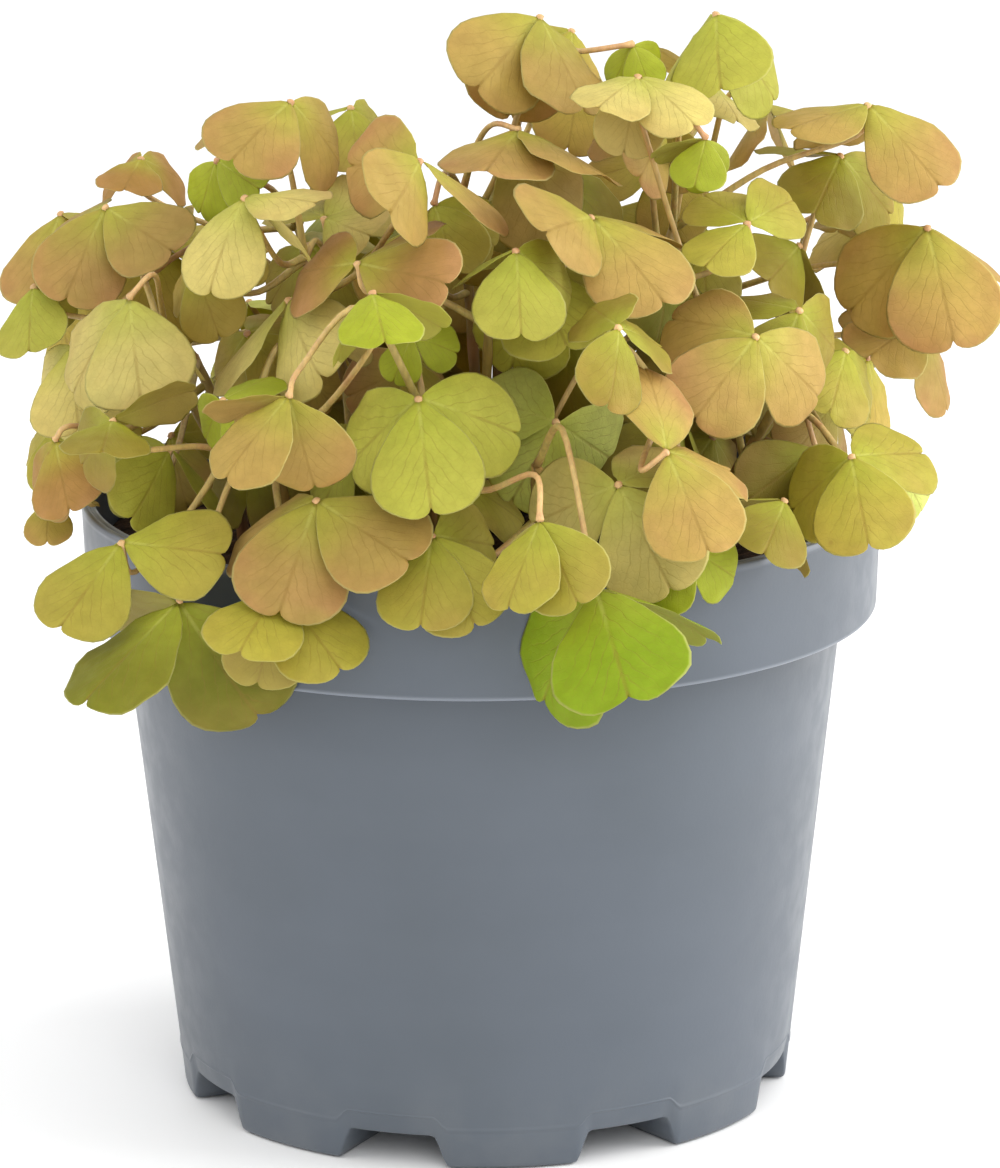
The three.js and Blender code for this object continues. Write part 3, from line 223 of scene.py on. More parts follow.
def find_stem(points, edges):
    """The stem's centre line from foot to top, through the middles of its rings. Where a stalk has taken up
    the top ring, the longest edges that rise from the ring below it lead to the top."""
    rings = find_rings(points, edges, STEM_RADIUS, STEM_SIDES)
    rings.sort(key=lambda ring: points[ring][:, 2].mean())
    centres = np.array([points[ring].mean(axis=0) for ring in rings])
    if len(centres) < STEM_RINGS:
        both = np.vstack([edges, edges[:, ::-1]])
        reach = both[np.isin(both[:, 0], rings[-1]) & ~np.isin(both[:, 1], rings[-1])]
        spans = points[reach[:, 1]] - points[reach[:, 0]]
        spans = spans[spans[:, 2] > 0]
        longest = np.argsort(-np.linalg.norm(spans, axis=1))[:TOP_EDGES]
        centres = np.vstack([centres, centres[-1] + spans[longest].mean(axis=0)])
    return centres


# %% Stalks
STALK_RADIUS, STALK_SIDES, HUB_REACH, LAST_SHARE = 0.55, 3, 1.05, 0.98


def nearest_on_line(point, start, end):
    """The point nearest to point on the line from start to end, kept a little short of the end."""
    along = end - start
    share = np.clip((point - start) @ along / (along @ along), 0, LAST_SHARE)
    return start + share * along


def find_stalks(points, edges, hubs, stem):
    """For each hub its stalk's path: the root on the stem's top stretch, two bends, and the hub."""
    both = np.vstack([edges, edges[:, ::-1]])
    rings = find_rings(points, edges, STALK_RADIUS, STALK_SIDES)
    linked = np.zeros((len(rings), len(points)), dtype=bool)
    for row, ring in zip(linked, rings):
        row[both[np.isin(both[:, 0], ring), 1]] = True
    paths = []
    for hub in hubs:
        near_hub = np.linalg.norm(points - hub, axis=1) < HUB_REACH
        high = max(range(len(rings)), key=lambda k: (linked[k] & near_hub).sum())
        others = [k for k in range(len(rings)) if k != high]
        low = max(others, key=lambda k: linked[high][rings[k]].sum())
        beyond = linked[low].copy()
        beyond[np.concatenate([rings[low], rings[high]])] = False
        root = nearest_on_line(points[beyond].mean(axis=0), stem[-2], stem[-1])
        paths.append(np.array([root, *(points[rings[k]].mean(axis=0) for k in (low, high)), hub]))
    return paths


# %% Read every leafy stem
plants = []
for name in sorted(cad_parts):
    if name.startswith("leafy_stem"):
        points, triangles = node_mesh(name)
        edges = edges_of(triangles)
        plant = {"name": name, "leaflets": find_leaflets(points, triangles), "stem": find_stem(points, edges)}
        plant["leaf_of"], plant["hubs"] = sort_into_leaves(plant["leaflets"])
        plant["stalks"] = find_stalks(points, edges, plant["hubs"], plant["stem"])
        plants.append(plant)
leaf_count = sum(len(plant["hubs"]) for plant in plants)
leaflet_count = sum(len(plant["leaflets"]) for plant in plants)
print("leafy stems:", len(plants), "leaves:", leaf_count, "leaflets:", leaflet_count)

# %% [markdown]
# ## Camera
# The camera stands where the photo was taken from: a long lens a little above the pot, looking down. Its
# place and turn were fitted to the ellipses of the pot's rim, collar and foot.

# %% Camera
EYE = Vector((-5.17, -885.4, 298.8)) * MM
TURN, DOWN, ROLL = np.radians(0.51), np.radians(14.07), np.radians(-0.38)
FOCAL_PIXELS, PICTURE_WIDTH, PICTURE_HEIGHT, SENSOR = 6046, 1000, 1168, 36
CLIP_NEAR, CLIP_FAR = 0.05, 20

look = Vector((np.sin(TURN) * np.cos(DOWN), np.cos(TURN) * np.cos(DOWN), -np.sin(DOWN)))
level = Vector((np.cos(TURN), -np.sin(TURN), 0))
above = level.cross(look)
right = np.cos(ROLL) * level + np.sin(ROLL) * above
upward = -np.sin(ROLL) * level + np.cos(ROLL) * above
camera_data = bpy.data.cameras.new("photo_camera")
camera_data.sensor_width = SENSOR
camera_data.lens = FOCAL_PIXELS / PICTURE_HEIGHT * SENSOR
camera_data.clip_start = CLIP_NEAR
camera_data.clip_end = CLIP_FAR
camera = bpy.data.objects.new("photo_camera", camera_data)
camera.matrix_world = Matrix.Translation(EYE) @ Matrix((right, upward, -look)).transposed().to_4x4()
bpy.context.collection.objects.link(camera)
bpy.context.scene.camera = camera


def to_picture(points):
    """Pixel places of points in millimetres, in the 1000 x 1168 photo, and their depth."""
    offset = points - np.array(EYE) / MM
    depth = offset @ np.array(look)
    x = PICTURE_WIDTH / 2 + FOCAL_PIXELS * (offset @ np.array(right)) / depth
    y = PICTURE_HEIGHT / 2 - FOCAL_PIXELS * (offset @ np.array(upward)) / depth
    return np.stack([x, y, depth], axis=-1)


print("camera at", [round(v, 3) for v in camera.location])

# %% [markdown]
# ## Colours
# Leaves come in a few families: most are ochre with a tan-pink blush, young ones are lime, old ones that
# hang low are olive or bright green. One darker family is painted shade, for leaves that lie in the shade of
# others. A leaf that faces the photo's camera gets the family that its real leaf belongs to, found by the
# pixel where its hub is seen. All others draw one at random; inner ones draw the darker families more often.

# %% Leaf colour families
# The screen colour standard: a straight line near black, and a power above it.
SCREEN_WHITE, LINE_END, LINE_SLOPE, POWER_SHIFT, SCREEN_POWER = 255, 0.04045, 12.92, 0.055, 2.4


def linear(red, green, blue):
    """A screen colour in 0 to 255 as the linear light that shaders use: screen / 12.92 near black, and
    ((screen + 0.055) / 1.055)^2.4 above, with screen from 0 to 1."""
    screen = np.array([red, green, blue]) / SCREEN_WHITE
    curve = ((screen + POWER_SHIFT) / (1 + POWER_SHIFT)) ** SCREEN_POWER
    return np.where(screen <= LINE_END, screen / LINE_SLOPE, curve)


def paint(*screen):
    """A screen colour as a shader socket takes it: linear red, green and blue, and a full alpha."""
    return (*linear(*screen), 1)


# Each family has its colour, and the strength of the blush on its lobes.
FAMILIES = {
    "ochre": (linear(194, 172, 76), 0.45),
    "tan": (linear(190, 162, 84), 0.75),
    "pale": (linear(216, 202, 118), 0.3),
    "straw": (linear(186, 176, 68), 0.25),
    "lime": (linear(198, 198, 78), 0.15),
    "young": (linear(172, 182, 44), 0.0),
    "mint": (linear(212, 220, 118), 0.05),
    "bright": (linear(140, 166, 24), 0.0),
    "olive": (linear(126, 128, 28), 0.15),
    # A darker family: painted shade for leaves that lie in the shade of other leaves.
    "deep": (linear(150, 138, 44), 0.3),
    "bronze": (linear(176, 134, 62), 0.85),
}
print("leaf colour families:", len(FAMILIES))

# %% Which leaf belongs to which family
HUB_FAMILIES = {
    "lime": [(418, 398), (716, 13), (516, 250), (530, 265), (170, 448), (33, 286)],
    "young": [(690, 548), (706, 138), (216, 160), (412, 335), (372, 292), (222, 400), (633, 44)],
    "mint": [(556, 422), (898, 468)],
    "pale": [
        (618, 484), (288, 299), (324, 218), (129, 298), (72, 345), (879, 214), (712, 85), (638, 76),
        (244, 197),
    ],
    "straw": [
        (121, 542), (280, 590), (540, 520), (851, 456), (434, 204), (747, 223), (351, 107), (432, 535),
        (66, 415),
    ],
    "bright": [(596, 588)],
    "olive": [(179, 601)],
    "deep": [(800, 245), (800, 310), (785, 500), (816, 449), (619, 327), (112, 420)],
    "bronze": [(141, 158), (55, 440), (357, 263)],
    "tan": [
        (592, 217), (316, 500), (540, 16), (519, 130), (420, 160), (291, 101), (768, 104), (922, 318),
        (868, 104), (105, 207), (418, 362), (664, 119), (289, 396), (60, 213), (667, 452), (756, 336),
    ],
}
# A hub this many pixels from a spot is that spot's leaf, and hubs this near the axis are inner ones.
NEAR_SPOT, INNER_RADIUS = 3, 42
# Inner leaves draw the darker families more often: painted shade inside the foliage.
INNER_MIX = {"ochre": 0.3, "deep": 0.3, "straw": 0.2, "olive": 0.1, "tan": 0.1}
OUTER_MIX = {"ochre": 0.42, "tan": 0.27, "straw": 0.13, "bronze": 0.06, "lime": 0.07, "deep": 0.05}


def draw_family(mix):
    """A family name drawn at random, each as often as its share of the mix."""
    return str(rng.choice(list(mix), p=list(mix.values())))


family_spots = np.array([spot for name in HUB_FAMILIES for spot in HUB_FAMILIES[name]], dtype=float)
family_of_spot = [name for name in HUB_FAMILIES for _ in HUB_FAMILIES[name]]
for plant in plants:
    seen = to_picture(plant["hubs"])
    plant["family"] = []
    for place, hub in zip(seen, plant["hubs"]):
        gap = np.linalg.norm(family_spots - place[:2], axis=1)
        nearest = int(gap.argmin())
        if gap[nearest] < NEAR_SPOT:
            plant["family"].append(family_of_spot[nearest])
        elif np.hypot(*hub[:2]) < INNER_RADIUS:
            plant["family"].append(draw_family(INNER_MIX))
        else:
            plant["family"].append(draw_family(OUTER_MIX))
print({name: sum(plant["family"].count(name) for plant in plants) for name in FAMILIES})

# %% [markdown]
# ## Leaflets
# All leaflets of a stem are made at once. A leaflet's grid runs from the notch to the base along its edge,
# and from its left edge to its right one across the midrib. The middle is a little arched, each lobe curls
# its own way, and the top and underside meet in a thin rim.

# %% Leaflet surfaces
ROW_TURNS = np.radians([5, 11, 18, 26, 35, 45, 56, 68, 81, 95, 109, 123, 137, 151, 165])
COLUMNS = np.array([-1, -0.95, -0.72, -0.47, -0.22, 0, 0.22, 0.47, 0.72, 0.95, 1])
LEAF_THICKNESS, COLUMN_BOW, NOTCH_EDGE = 0.3, 1.25, 0.9


def leaflet_plan():
    """The grid in leaflet lengths: x = side edge_x spread across, y = rib_y + (edge_y - rib_y) spread^1.25
    along, where spread is 0 on the midrib and 1 on the edge. Also each point's edge turn and column."""
    turn, column = np.meshgrid(ROW_TURNS, COLUMNS, indexing="ij")
    edge_x, edge_y = outline(turn)
    spread = np.abs(column)
    x = np.sign(column) * edge_x * spread
    rib_y = NOTCH_AT * (1 - turn / np.pi)
    y = rib_y + (edge_y - rib_y) * spread**COLUMN_BOW
    return x, y, turn, column


def leaflet_faces(rows, columns):
    """Quads and triangles of one leaflet. Points are the notch, the top grid, the base, then the under grid
    without its edge columns, which both sides share."""
    top = 1 + np.arange(rows * columns).reshape(rows, columns)
    notch, base = 0, 1 + rows * columns
    under = top.copy()
    under[:, 1:-1] = base + 1 + np.arange(rows * (columns - 2)).reshape(rows, columns - 2)
    over_quads = np.stack([top[:-1, :-1], top[1:, :-1], top[1:, 1:], top[:-1, 1:]], axis=-1)
    under_quads = np.stack([under[:-1, :-1], under[:-1, 1:], under[1:, 1:], under[1:, :-1]], axis=-1)
    caps = []
    for grid, flip in ((top, 1), (under, -1)):
        ends = [(grid[0, :-1], grid[0, 1:], notch), (grid[-1, 1:], grid[-1, :-1], base)]
        for one, two, pole in ends:
            caps.append(np.stack([np.full(len(one), pole), one, two][::flip], axis=-1))
    return np.vstack([over_quads.reshape(-1, 4), under_quads.reshape(-1, 4)]), np.vstack(caps)


leaf_quads, leaf_caps = leaflet_faces(len(ROW_TURNS), len(COLUMNS))
print("faces of a leaflet:", len(leaf_quads) + len(leaf_caps))

# %% [markdown]
# No two leaflets are bent alike. Each has its own arch along the midrib, a curl of its lobes, a cup across
# it and a low wave along its edge. The numbers for these are drawn once for each leaflet.

# %% How a leaflet is bent
FOLD_ROUND = 0.04
ARCH_LIFT, ARCH_MIDDLE, CURL_START, CURL_MIDDLE, CUP_SHARE = 0.2, 0.45, 0.55, 0.5, 0.3
WAVES, WAVE_SHIFT, WAVE_POWER = 7, 2, 3
GROOVE_DEPTH, GROOVE_WIDTH = 0.012, 0.02
BENDS = {
    "arch": (0.0, 0.16),
    "curl": (-0.08, 0.28),
    "wave": (0.006, 0.022),
    "phase": (0, 2 * np.pi),
    "cup": (-0.06, 0.06),
}


def draw_bends(count):
    """A row of (arch, curl, wave, phase, cup) for each of count leaflets."""
    return np.stack([rng.uniform(*ends, count) for ends in BENDS.values()], axis=1)


def blade_height(x, y, turn, column, bends):
    """Height over the leaflet's plane, in leaflet lengths: a fold with a rounded ridge,
    arch (0.2 - (y - 0.45)^2), less curl (y - 0.55)^2 (0.5 + spread) beyond y = 0.55, 0.3 cup (x / width)^2,
    wave sin(7 turn + phase) spread^3, and a narrow groove along the midrib."""
    arch, curl, wave, phase, cup = (bends[:, k, None, None] for k in range(len(BENDS)))
    spread = np.abs(column)
    height = -FOLD * (np.sqrt(x * x + FOLD_ROUND**2) - FOLD_ROUND)
    height = height + arch * (ARCH_LIFT - (y - ARCH_MIDDLE) ** 2)
    height = height - curl * np.maximum(y - CURL_START, 0) ** 2 * (CURL_MIDDLE + spread)
    height = height + cup * (x / HALF_WIDTH) ** 2 * CUP_SHARE
    height = height + wave * np.sin(WAVES * turn + phase + WAVE_SHIFT * np.sign(column)) * spread**WAVE_POWER
    return height - GROOVE_DEPTH * np.exp(-((x / GROOVE_WIDTH) ** 2))


def grow_leaflets(leaflets, bends):
    """Points of all leaflets: base + size (x across + y midrib + height up), half the thickness above and
    below. Also their marks (x, y, turn from 0 to 1, spread), and 1 for each point on an underside."""
    count = len(leaflets)
    size = leaflets[:, 0, None, None, None]
    base, midrib, up = (leaflets[:, None, None, k : k + 3] for k in LEAFLET_VECTORS)
    across = np.cross(midrib, up)
    x, y, turn, column = (part[None] for part in leaflet_plan())
    height = blade_height(x, y, turn, column, bends)
    surface = base + size * (x[..., None] * across + y[..., None] * midrib + height[..., None] * up)
    thick = LEAF_THICKNESS * (1 - column**4)[..., None] * up / 2
    top, under = surface + thick, (surface - thick)[:, :, 1:-1]
    rise = blade_height(0, NOTCH_AT, 0, 0, bends)[..., None]
    notch = base + size * (NOTCH_AT * midrib + rise * up)
    points = np.concatenate([part.reshape(count, -1, 3) for part in (notch, top, base, under)], axis=1)
    plan = np.stack([x, y, turn / np.pi, np.abs(column)], axis=-1)[0]
    over_plan, under_plan = plan.reshape(-1, 4), plan[:, 1:-1].reshape(-1, 4)
    marks = np.vstack([[0, NOTCH_AT, 0, NOTCH_EDGE], over_plan, [0, 0, 1, 0], under_plan])
    below = np.repeat([0.0, 1.0], [len(over_plan) + 2, len(under_plan)])
    return points, np.tile(marks, (count, 1, 1)), np.tile(below, (count, 1))


# %% [markdown]
# ## Tubes
# Stems and stalks are circles carried along a smooth path. The path is a spline through the points that
# the CAD model gave, and the circle is turned as little as can be on the way.

# %% Tubes along paths
FIRST_ACROSS = (0.3, 0.9, 0.1)


def smooth_path(points, steps):
    """A Catmull-Rom spline through the points, with this many steps in each stretch."""
    padded = np.vstack([2 * points[0] - points[1], points, 2 * points[-1] - points[-2]])
    share = np.linspace(0, 1, steps, endpoint=False)[:, None]
    rows = []
    for a, b, c, d in zip(padded, padded[1:], padded[2:], padded[3:]):
        curve = (c - a) * share + (2 * a - 5 * b + 4 * c - d) * share**2 + (3 * b - a - 3 * c + d) * share**3
        rows.append(b + curve / 2)
    return np.vstack([*rows, points[-1:]])


def carry_circle(path, radii, sides):
    """Points, quads and end triangles of a closed tube. Its ring at a point of the path is
    point + radius (one cos(turn) + two sin(turn)), with one and two square to the path."""
    tangents = unit(np.gradient(path, axis=0))
    across = np.cross(tangents[0], FIRST_ACROSS)
    frames = []
    for tangent in tangents:
        across = unit(across - tangent * (across @ tangent))
        frames.append((across, np.cross(tangent, across)))
    turn = 2 * np.pi * np.arange(sides)[:, None] / sides
    one, two = (np.array([pair[k] for pair in frames])[:, None] for k in (0, 1))
    ring = path[:, None] + radii[:, None, None] * (one * np.cos(turn) + two * np.sin(turn))
    number = np.arange(len(path) * sides).reshape(len(path), sides)
    after = np.roll(number, -1, axis=1)
    quads = np.stack([number[:-1], after[:-1], after[1:], number[1:]], axis=-1).reshape(-1, 4)
    first, last = len(path) * sides, len(path) * sides + 1
    caps = [np.stack([np.full(sides, first), after[0], number[0]], axis=-1)]
    caps.append(np.stack([np.full(sides, last), number[-1], after[-1]], axis=-1))
    return np.vstack([ring.reshape(-1, 3), path[:1], path[-1:]]), quads, np.vstack(caps)


# %% Stalks and stems as tubes
STALK_STEPS, STALK_TUBE_SIDES, STEM_STEPS, STEM_TUBE_SIDES = 6, 8, 9, 10
STALK_THIN, STALK_THICKER, KNOB, KNOB_AT, KNOB_LENGTH = 0.42, 0.25, 0.22, 0.955, 0.03
TIP_REACH, TIP_RADIUS = 0.25, 0.3
STEM_WIDER, STEM_NARROWS, NARROW_POWER = 1.06, 0.42, 1.5
STEM_SWELLS, SWELL_TURN, SWELL_POWER = 0.1, 34, 8


def stalk_tube(path):
    """A leaf stalk: radius 0.42 + 0.25 (1 - share)^4, thicker at its root, and a knob under the leaflets."""
    line = smooth_path(path, STALK_STEPS)
    line = np.vstack([line, line[-1] + unit(line[-1] - path[2]) * TIP_REACH])
    share = np.linspace(0, 1, len(line))
    knob = KNOB * np.exp(-(((share - KNOB_AT) / KNOB_LENGTH) ** 2))
    radii = STALK_THIN + STALK_THICKER * (1 - share) ** 4 + knob
    radii[-1] = TIP_RADIUS
    return carry_circle(line, radii, STALK_TUBE_SIDES), share


def stem_tube(centres):
    """A stem of radius 1.05 (1.06 - 0.42 share^1.5 + 0.1 cos(34 share)^8). It narrows towards its top and
    swells a little where leaves have grown from it."""
    line = smooth_path(centres, STEM_STEPS)
    share = np.linspace(0, 1, len(line))
    swells = STEM_SWELLS * np.cos(share * SWELL_TURN) ** SWELL_POWER
    radii = STEM_RADIUS * (STEM_WIDER - STEM_NARROWS * share**NARROW_POWER + swells)
    return carry_circle(line, radii, STEM_TUBE_SIDES), share


# %% [markdown]
# ## Building meshes
# A small helper turns arrays into a Blender mesh and stores the numbers that the materials read.

# %% Mesh helper
KINDS = {3: ("FLOAT_VECTOR", "vector"), 4: ("FLOAT_COLOR", "color")}


def build_object(name, points, polygons, materials, material_of=None, marks=None):
    """A smooth mesh object from points in millimetres, a list of quad or triangle arrays, and attributes."""
    mesh = bpy.data.meshes.new(name)
    counts = np.concatenate([np.full(len(faces), faces.shape[1]) for faces in polygons])
    corners = np.concatenate([faces.reshape(-1) for faces in polygons]).astype(np.int32)
    starts = np.concatenate([[0], np.cumsum(counts)[:-1]]).astype(np.int32)
    mesh.vertices.add(len(points))
    mesh.vertices.foreach_set("co", (points * MM).astype(np.float32).ravel())
    mesh.loops.add(len(corners))
    mesh.loops.foreach_set("vertex_index", corners)
    mesh.polygons.add(len(counts))
    mesh.polygons.foreach_set("loop_start", starts)
    for material in materials:
        mesh.materials.append(material)
    if material_of is not None:
        mesh.polygons.foreach_set("material_index", material_of.astype(np.int32))
    mesh.update(calc_edges=True)
    mesh.polygons.foreach_set("use_smooth", np.ones(len(counts), dtype=bool))
    for title, values in (marks or {}).items():
        kind, field = KINDS[values.shape[1]]
        layer = mesh.attributes.new(title, kind, "POINT")
        layer.data.foreach_set(field, values.astype(np.float32).ravel())
    mesh.validate()
    made = bpy.data.objects.new(name, mesh)
    bpy.context.collection.objects.link(made)
    return made


# %% [markdown]
# ## Materials
# Every material is made of noise and of the numbers stored on the mesh, so it looks the same from all sides.

# %% Node helpers


def add_node(tree, kind, values=None, **settings):
    """A node with its settings, and constant or linked inputs by name or number."""
    made = tree.nodes.new(kind)
    for key, value in settings.items():
        setattr(made, key, value)
    for key, value in (values or {}).items():
        if isinstance(value, bpy.types.NodeSocket):
            tree.links.new(value, made.inputs[key])
        else:
            made.inputs[key].default_value = value
    return made


def math_node(tree, operation, one, two=0.0, clamp=False):
    """The output of one Math node."""
    return add_node(tree, "ShaderNodeMath", {0: one, 1: two}, operation=operation, use_clamp=clamp).outputs[0]


def times(tree, one, two):
    """The product of two numbers."""
    return math_node(tree, "MULTIPLY", one, two)


def mix_colour(tree, share, one, two, blend="MIX"):
    """The output of a colour Mix node. Inputs 6 and 7 of that node are its two colours."""
    made = add_node(tree, "ShaderNodeMix", {0: share, 6: one, 7: two}, data_type="RGBA", blend_type=blend)
    return made.outputs[2]


def scale_colour(tree, colour, factor):
    """The colour with its red, green and blue multiplied by factor."""
    grey = add_node(tree, "ShaderNodeCombineXYZ", {0: factor, 1: factor, 2: factor}).outputs[0]
    return mix_colour(tree, 1.0, colour, grey, "MULTIPLY")


def remap(tree, value, ends, results=(0.0, 1.0)):
    """value smoothly mapped from its two ends to the two results."""
    values = {0: value, 1: ends[0], 2: ends[1], 3: results[0], 4: results[1]}
    return add_node(tree, "ShaderNodeMapRange", values, interpolation_type="SMOOTHSTEP").outputs[0]


def noise(tree, place, scale, detail=3.0, roughness=0.5, distortion=0.0):
    """The grey output of a Noise node."""
    values = {"Vector": place, "Scale": scale, "Detail": detail, "Roughness": roughness}
    values["Distortion"] = distortion
    return add_node(tree, "ShaderNodeTexNoise", values).outputs[0]


def stretch_place(tree, place, factors):
    """The place with x, y and z multiplied by their factors."""
    return add_node(tree, "ShaderNodeVectorMath", {0: place, 1: factors}, operation="MULTIPLY").outputs[0]


def new_group(name, inputs, outputs):
    """A node group with named sockets, and its input and output nodes."""
    tree = bpy.data.node_groups.new(name, "ShaderNodeTree")
    for title, kind in inputs:
        tree.interface.new_socket(title, in_out="INPUT", socket_type=kind)
    for title, kind in outputs:
        tree.interface.new_socket(title, in_out="OUTPUT", socket_type=kind)
    return tree, tree.nodes.new("NodeGroupInput"), tree.nodes.new("NodeGroupOutput")


def new_material(name):
    """A material with an empty Principled shader."""
    made = bpy.data.materials.new(name)
    made.use_nodes = True
    tree = made.node_tree
    return made, tree, tree.nodes["Principled BSDF"]


def add_bump(tree, shader, height, strength, distance):
    """Relief of this height on the shader, with distance in metres. Returns the bent normal."""
    bump = add_node(tree, "ShaderNodeBump", {"Strength": strength, "Distance": distance, "Height": height})
    tree.links.new(bump.outputs[0], shader.inputs["Normal"])
    return bump.outputs[0]


NUMBER, PLACE = "NodeSocketFloat", "NodeSocketVector"
FADE_OUT = (1.0, 0.0)

# %% [markdown]
# ### Leaf veins
# This group knows only leaf coordinates. It draws the midrib, the side veins and the fine net between.
# Side veins are stripes that climb away from the midrib and sway a little with noise.

# %% Vein group
RIB_HALF, VEIN_HALF, NET_HALF = (0.004, 0.022), (0.01, 0.085), (0.0, 0.09)
SWAY, SWAY_NOISE = 0.22, {"scale": 4.5, "detail": 2.0}
CLIMB, CLIMB_POWER, VEINS_IN_A_LENGTH, NET_CELLS = 1.35, 0.85, 6.2, 15.0
VEIN_FADE = ((0.35, 0.95), (1.0, 0.1))

vein_tree, vein_in, vein_out = new_group(
    "leaf_veins", [("plan", PLACE), ("edge", NUMBER)], [("rib", NUMBER), ("veins", NUMBER), ("net", NUMBER)]
)
plan_in, edge_in = vein_in.outputs["plan"], vein_in.outputs["edge"]
axes = add_node(vein_tree, "ShaderNodeSeparateXYZ", {0: plan_in})
beside = math_node(vein_tree, "ABSOLUTE", axes.outputs[0])
rib = remap(vein_tree, beside, RIB_HALF, FADE_OUT)
climb = times(vein_tree, math_node(vein_tree, "POWER", beside, CLIMB_POWER), CLIMB)
start = math_node(vein_tree, "SUBTRACT", axes.outputs[1], climb)
sway = times(vein_tree, math_node(vein_tree, "SUBTRACT", noise(vein_tree, plan_in, **SWAY_NOISE), 0.5), SWAY)
start = math_node(vein_tree, "ADD", start, sway)
stripes = math_node(vein_tree, "FRACT", times(vein_tree, start, VEINS_IN_A_LENGTH))
stripe_gap = math_node(vein_tree, "ABSOLUTE", math_node(vein_tree, "SUBTRACT", stripes, 0.5))
stripe_lines = remap(vein_tree, stripe_gap, VEIN_HALF, FADE_OUT)
side_veins = times(vein_tree, stripe_lines, remap(vein_tree, edge_in, *VEIN_FADE))
cell_values = {"Vector": plan_in, "Scale": NET_CELLS}
cells = add_node(vein_tree, "ShaderNodeTexVoronoi", cell_values, feature="DISTANCE_TO_EDGE")
net = remap(vein_tree, cells.outputs["Distance"], NET_HALF, FADE_OUT)
vein_tree.links.new(rib, vein_out.inputs["rib"])
vein_tree.links.new(side_veins, vein_out.inputs["veins"])
vein_tree.links.new(net, vein_out.inputs["net"])
print("vein nodes:", len(vein_tree.nodes))

# %% [markdown]
# ### Leaf material
# The stored tint is the leaf's own colour. Near the base it is greener, and a tan-pink blush lies on the
# lobes in soft patches. The midrib is pale at its foot and darker above, side veins show as faint darker
# lines, the rim is a thin pale line, and some light shines through the blade.

# %% Leaf values
LEAF_PAINTS = {
    "foot": paint(178, 186, 58),
    "blush": paint(192, 144, 90),
    "dark rib": paint(150, 118, 50),
    "pale rib": paint(222, 222, 120),
    "veins": paint(150, 120, 52),
    "rim": paint(228, 222, 140),
    "underside": paint(190, 160, 104),
    "specks": paint(150, 104, 52),
    "shine": paint(206, 200, 40),
}
# Two ends of what a mask reads, and the mask's value at each. The first four go by the place along the
# leaflet, the next two by the share of the way from midrib to edge, and the others by noise.
LEAF_RANGES = {
    "foot": ((0.05, 0.62), (0.6, 0.0)),
    "blush along": ((0.15, 0.95), (0.0, 0.6)),
    "dark rib": ((0.3, 0.6), (0.0, 0.34)),
    "pale rib": ((0.15, 0.45), (0.3, 0.0)),
    "blush edge": ((0.35, 1.0), (0.0, 0.45)),
    "rim": ((0.955, 0.995), (0.0, 0.55)),
    "blush patches": ((0.3, 0.68), (0.0, 1.0)),
    "mottle": ((0.3, 0.72), (0.93, 1.07)),
    "roughness": ((0.93, 1.07), (0.62, 0.52)),
    "speck size": ((0.05, 0.12), (0.35, 0.0)),
    "speck chance": ((0.58, 0.7), (0.0, 1.0)),
}
LEAF_NOISES = {
    "blush patches": {"scale": 85.0, "distortion": 0.4},
    "mottle": {"scale": 420.0, "detail": 4.0, "roughness": 0.55},
    "speck chance": {"scale": 45.0, "detail": 1.0},
    "grain": {"scale": 700.0, "detail": 2.0},
}
VEIN_SHARE, NET_SHARE, UNDERSIDE_SHARE, SHINE_SHARE, THROUGH_SHARE = 0.3, 0.1, 0.4, 0.35, 0.38
SPECKS_IN_A_METRE, LEAF_SPECULAR = 240.0, 0.3
RIB_RELIEF, VEIN_RELIEF, NET_RELIEF, GRAIN_RELIEF = -0.8, -0.5, -0.2, 0.35
FINE_BUMP = {"strength": 0.4, "distance": 0.0002}

# %% Leaf material: what it reads
leaf_material, tree, leaf_shader = new_material("oxalis_leaf")
tint = add_node(tree, "ShaderNodeAttribute", attribute_name="tint").outputs["Color"]
plan = add_node(tree, "ShaderNodeAttribute", attribute_name="plan").outputs["Vector"]
traits = add_node(tree, "ShaderNodeAttribute", attribute_name="traits").outputs["Vector"]
edge_share, blush_share, underside = add_node(tree, "ShaderNodeSeparateXYZ", {0: traits}).outputs
up_the_leaf = add_node(tree, "ShaderNodeSeparateXYZ", {0: plan}).outputs[1]
place = add_node(tree, "ShaderNodeTexCoord").outputs["Object"]
veins = add_node(tree, "ShaderNodeGroup", node_tree=vein_tree)
tree.links.new(plan, veins.inputs["plan"])
tree.links.new(edge_share, veins.inputs["edge"])

# %% Leaf material: masks
masks = {name: remap(tree, up_the_leaf, *LEAF_RANGES[name]) for name in ("foot", "dark rib", "pale rib")}
patches = remap(tree, noise(tree, place, **LEAF_NOISES["blush patches"]), *LEAF_RANGES["blush patches"])
blush_along = remap(tree, up_the_leaf, *LEAF_RANGES["blush along"])
lobes = math_node(tree, "ADD", blush_along, remap(tree, edge_share, *LEAF_RANGES["blush edge"]))
masks["blush"] = math_node(tree, "MULTIPLY", times(tree, patches, lobes), blush_share, clamp=True)
masks["dark rib"] = times(tree, veins.outputs["rib"], masks["dark rib"])
masks["pale rib"] = times(tree, veins.outputs["rib"], masks["pale rib"])
masks["rim"] = remap(tree, edge_share, *LEAF_RANGES["rim"])
masks["underside"] = times(tree, underside, UNDERSIDE_SHARE)
specks = add_node(tree, "ShaderNodeTexVoronoi", {"Vector": place, "Scale": SPECKS_IN_A_METRE})
speck_size = remap(tree, specks.outputs["Distance"], *LEAF_RANGES["speck size"])
speck_chance = remap(tree, noise(tree, place, **LEAF_NOISES["speck chance"]), *LEAF_RANGES["speck chance"])
masks["specks"] = times(tree, speck_size, speck_chance)
mottle = remap(tree, noise(tree, place, **LEAF_NOISES["mottle"]), *LEAF_RANGES["mottle"])

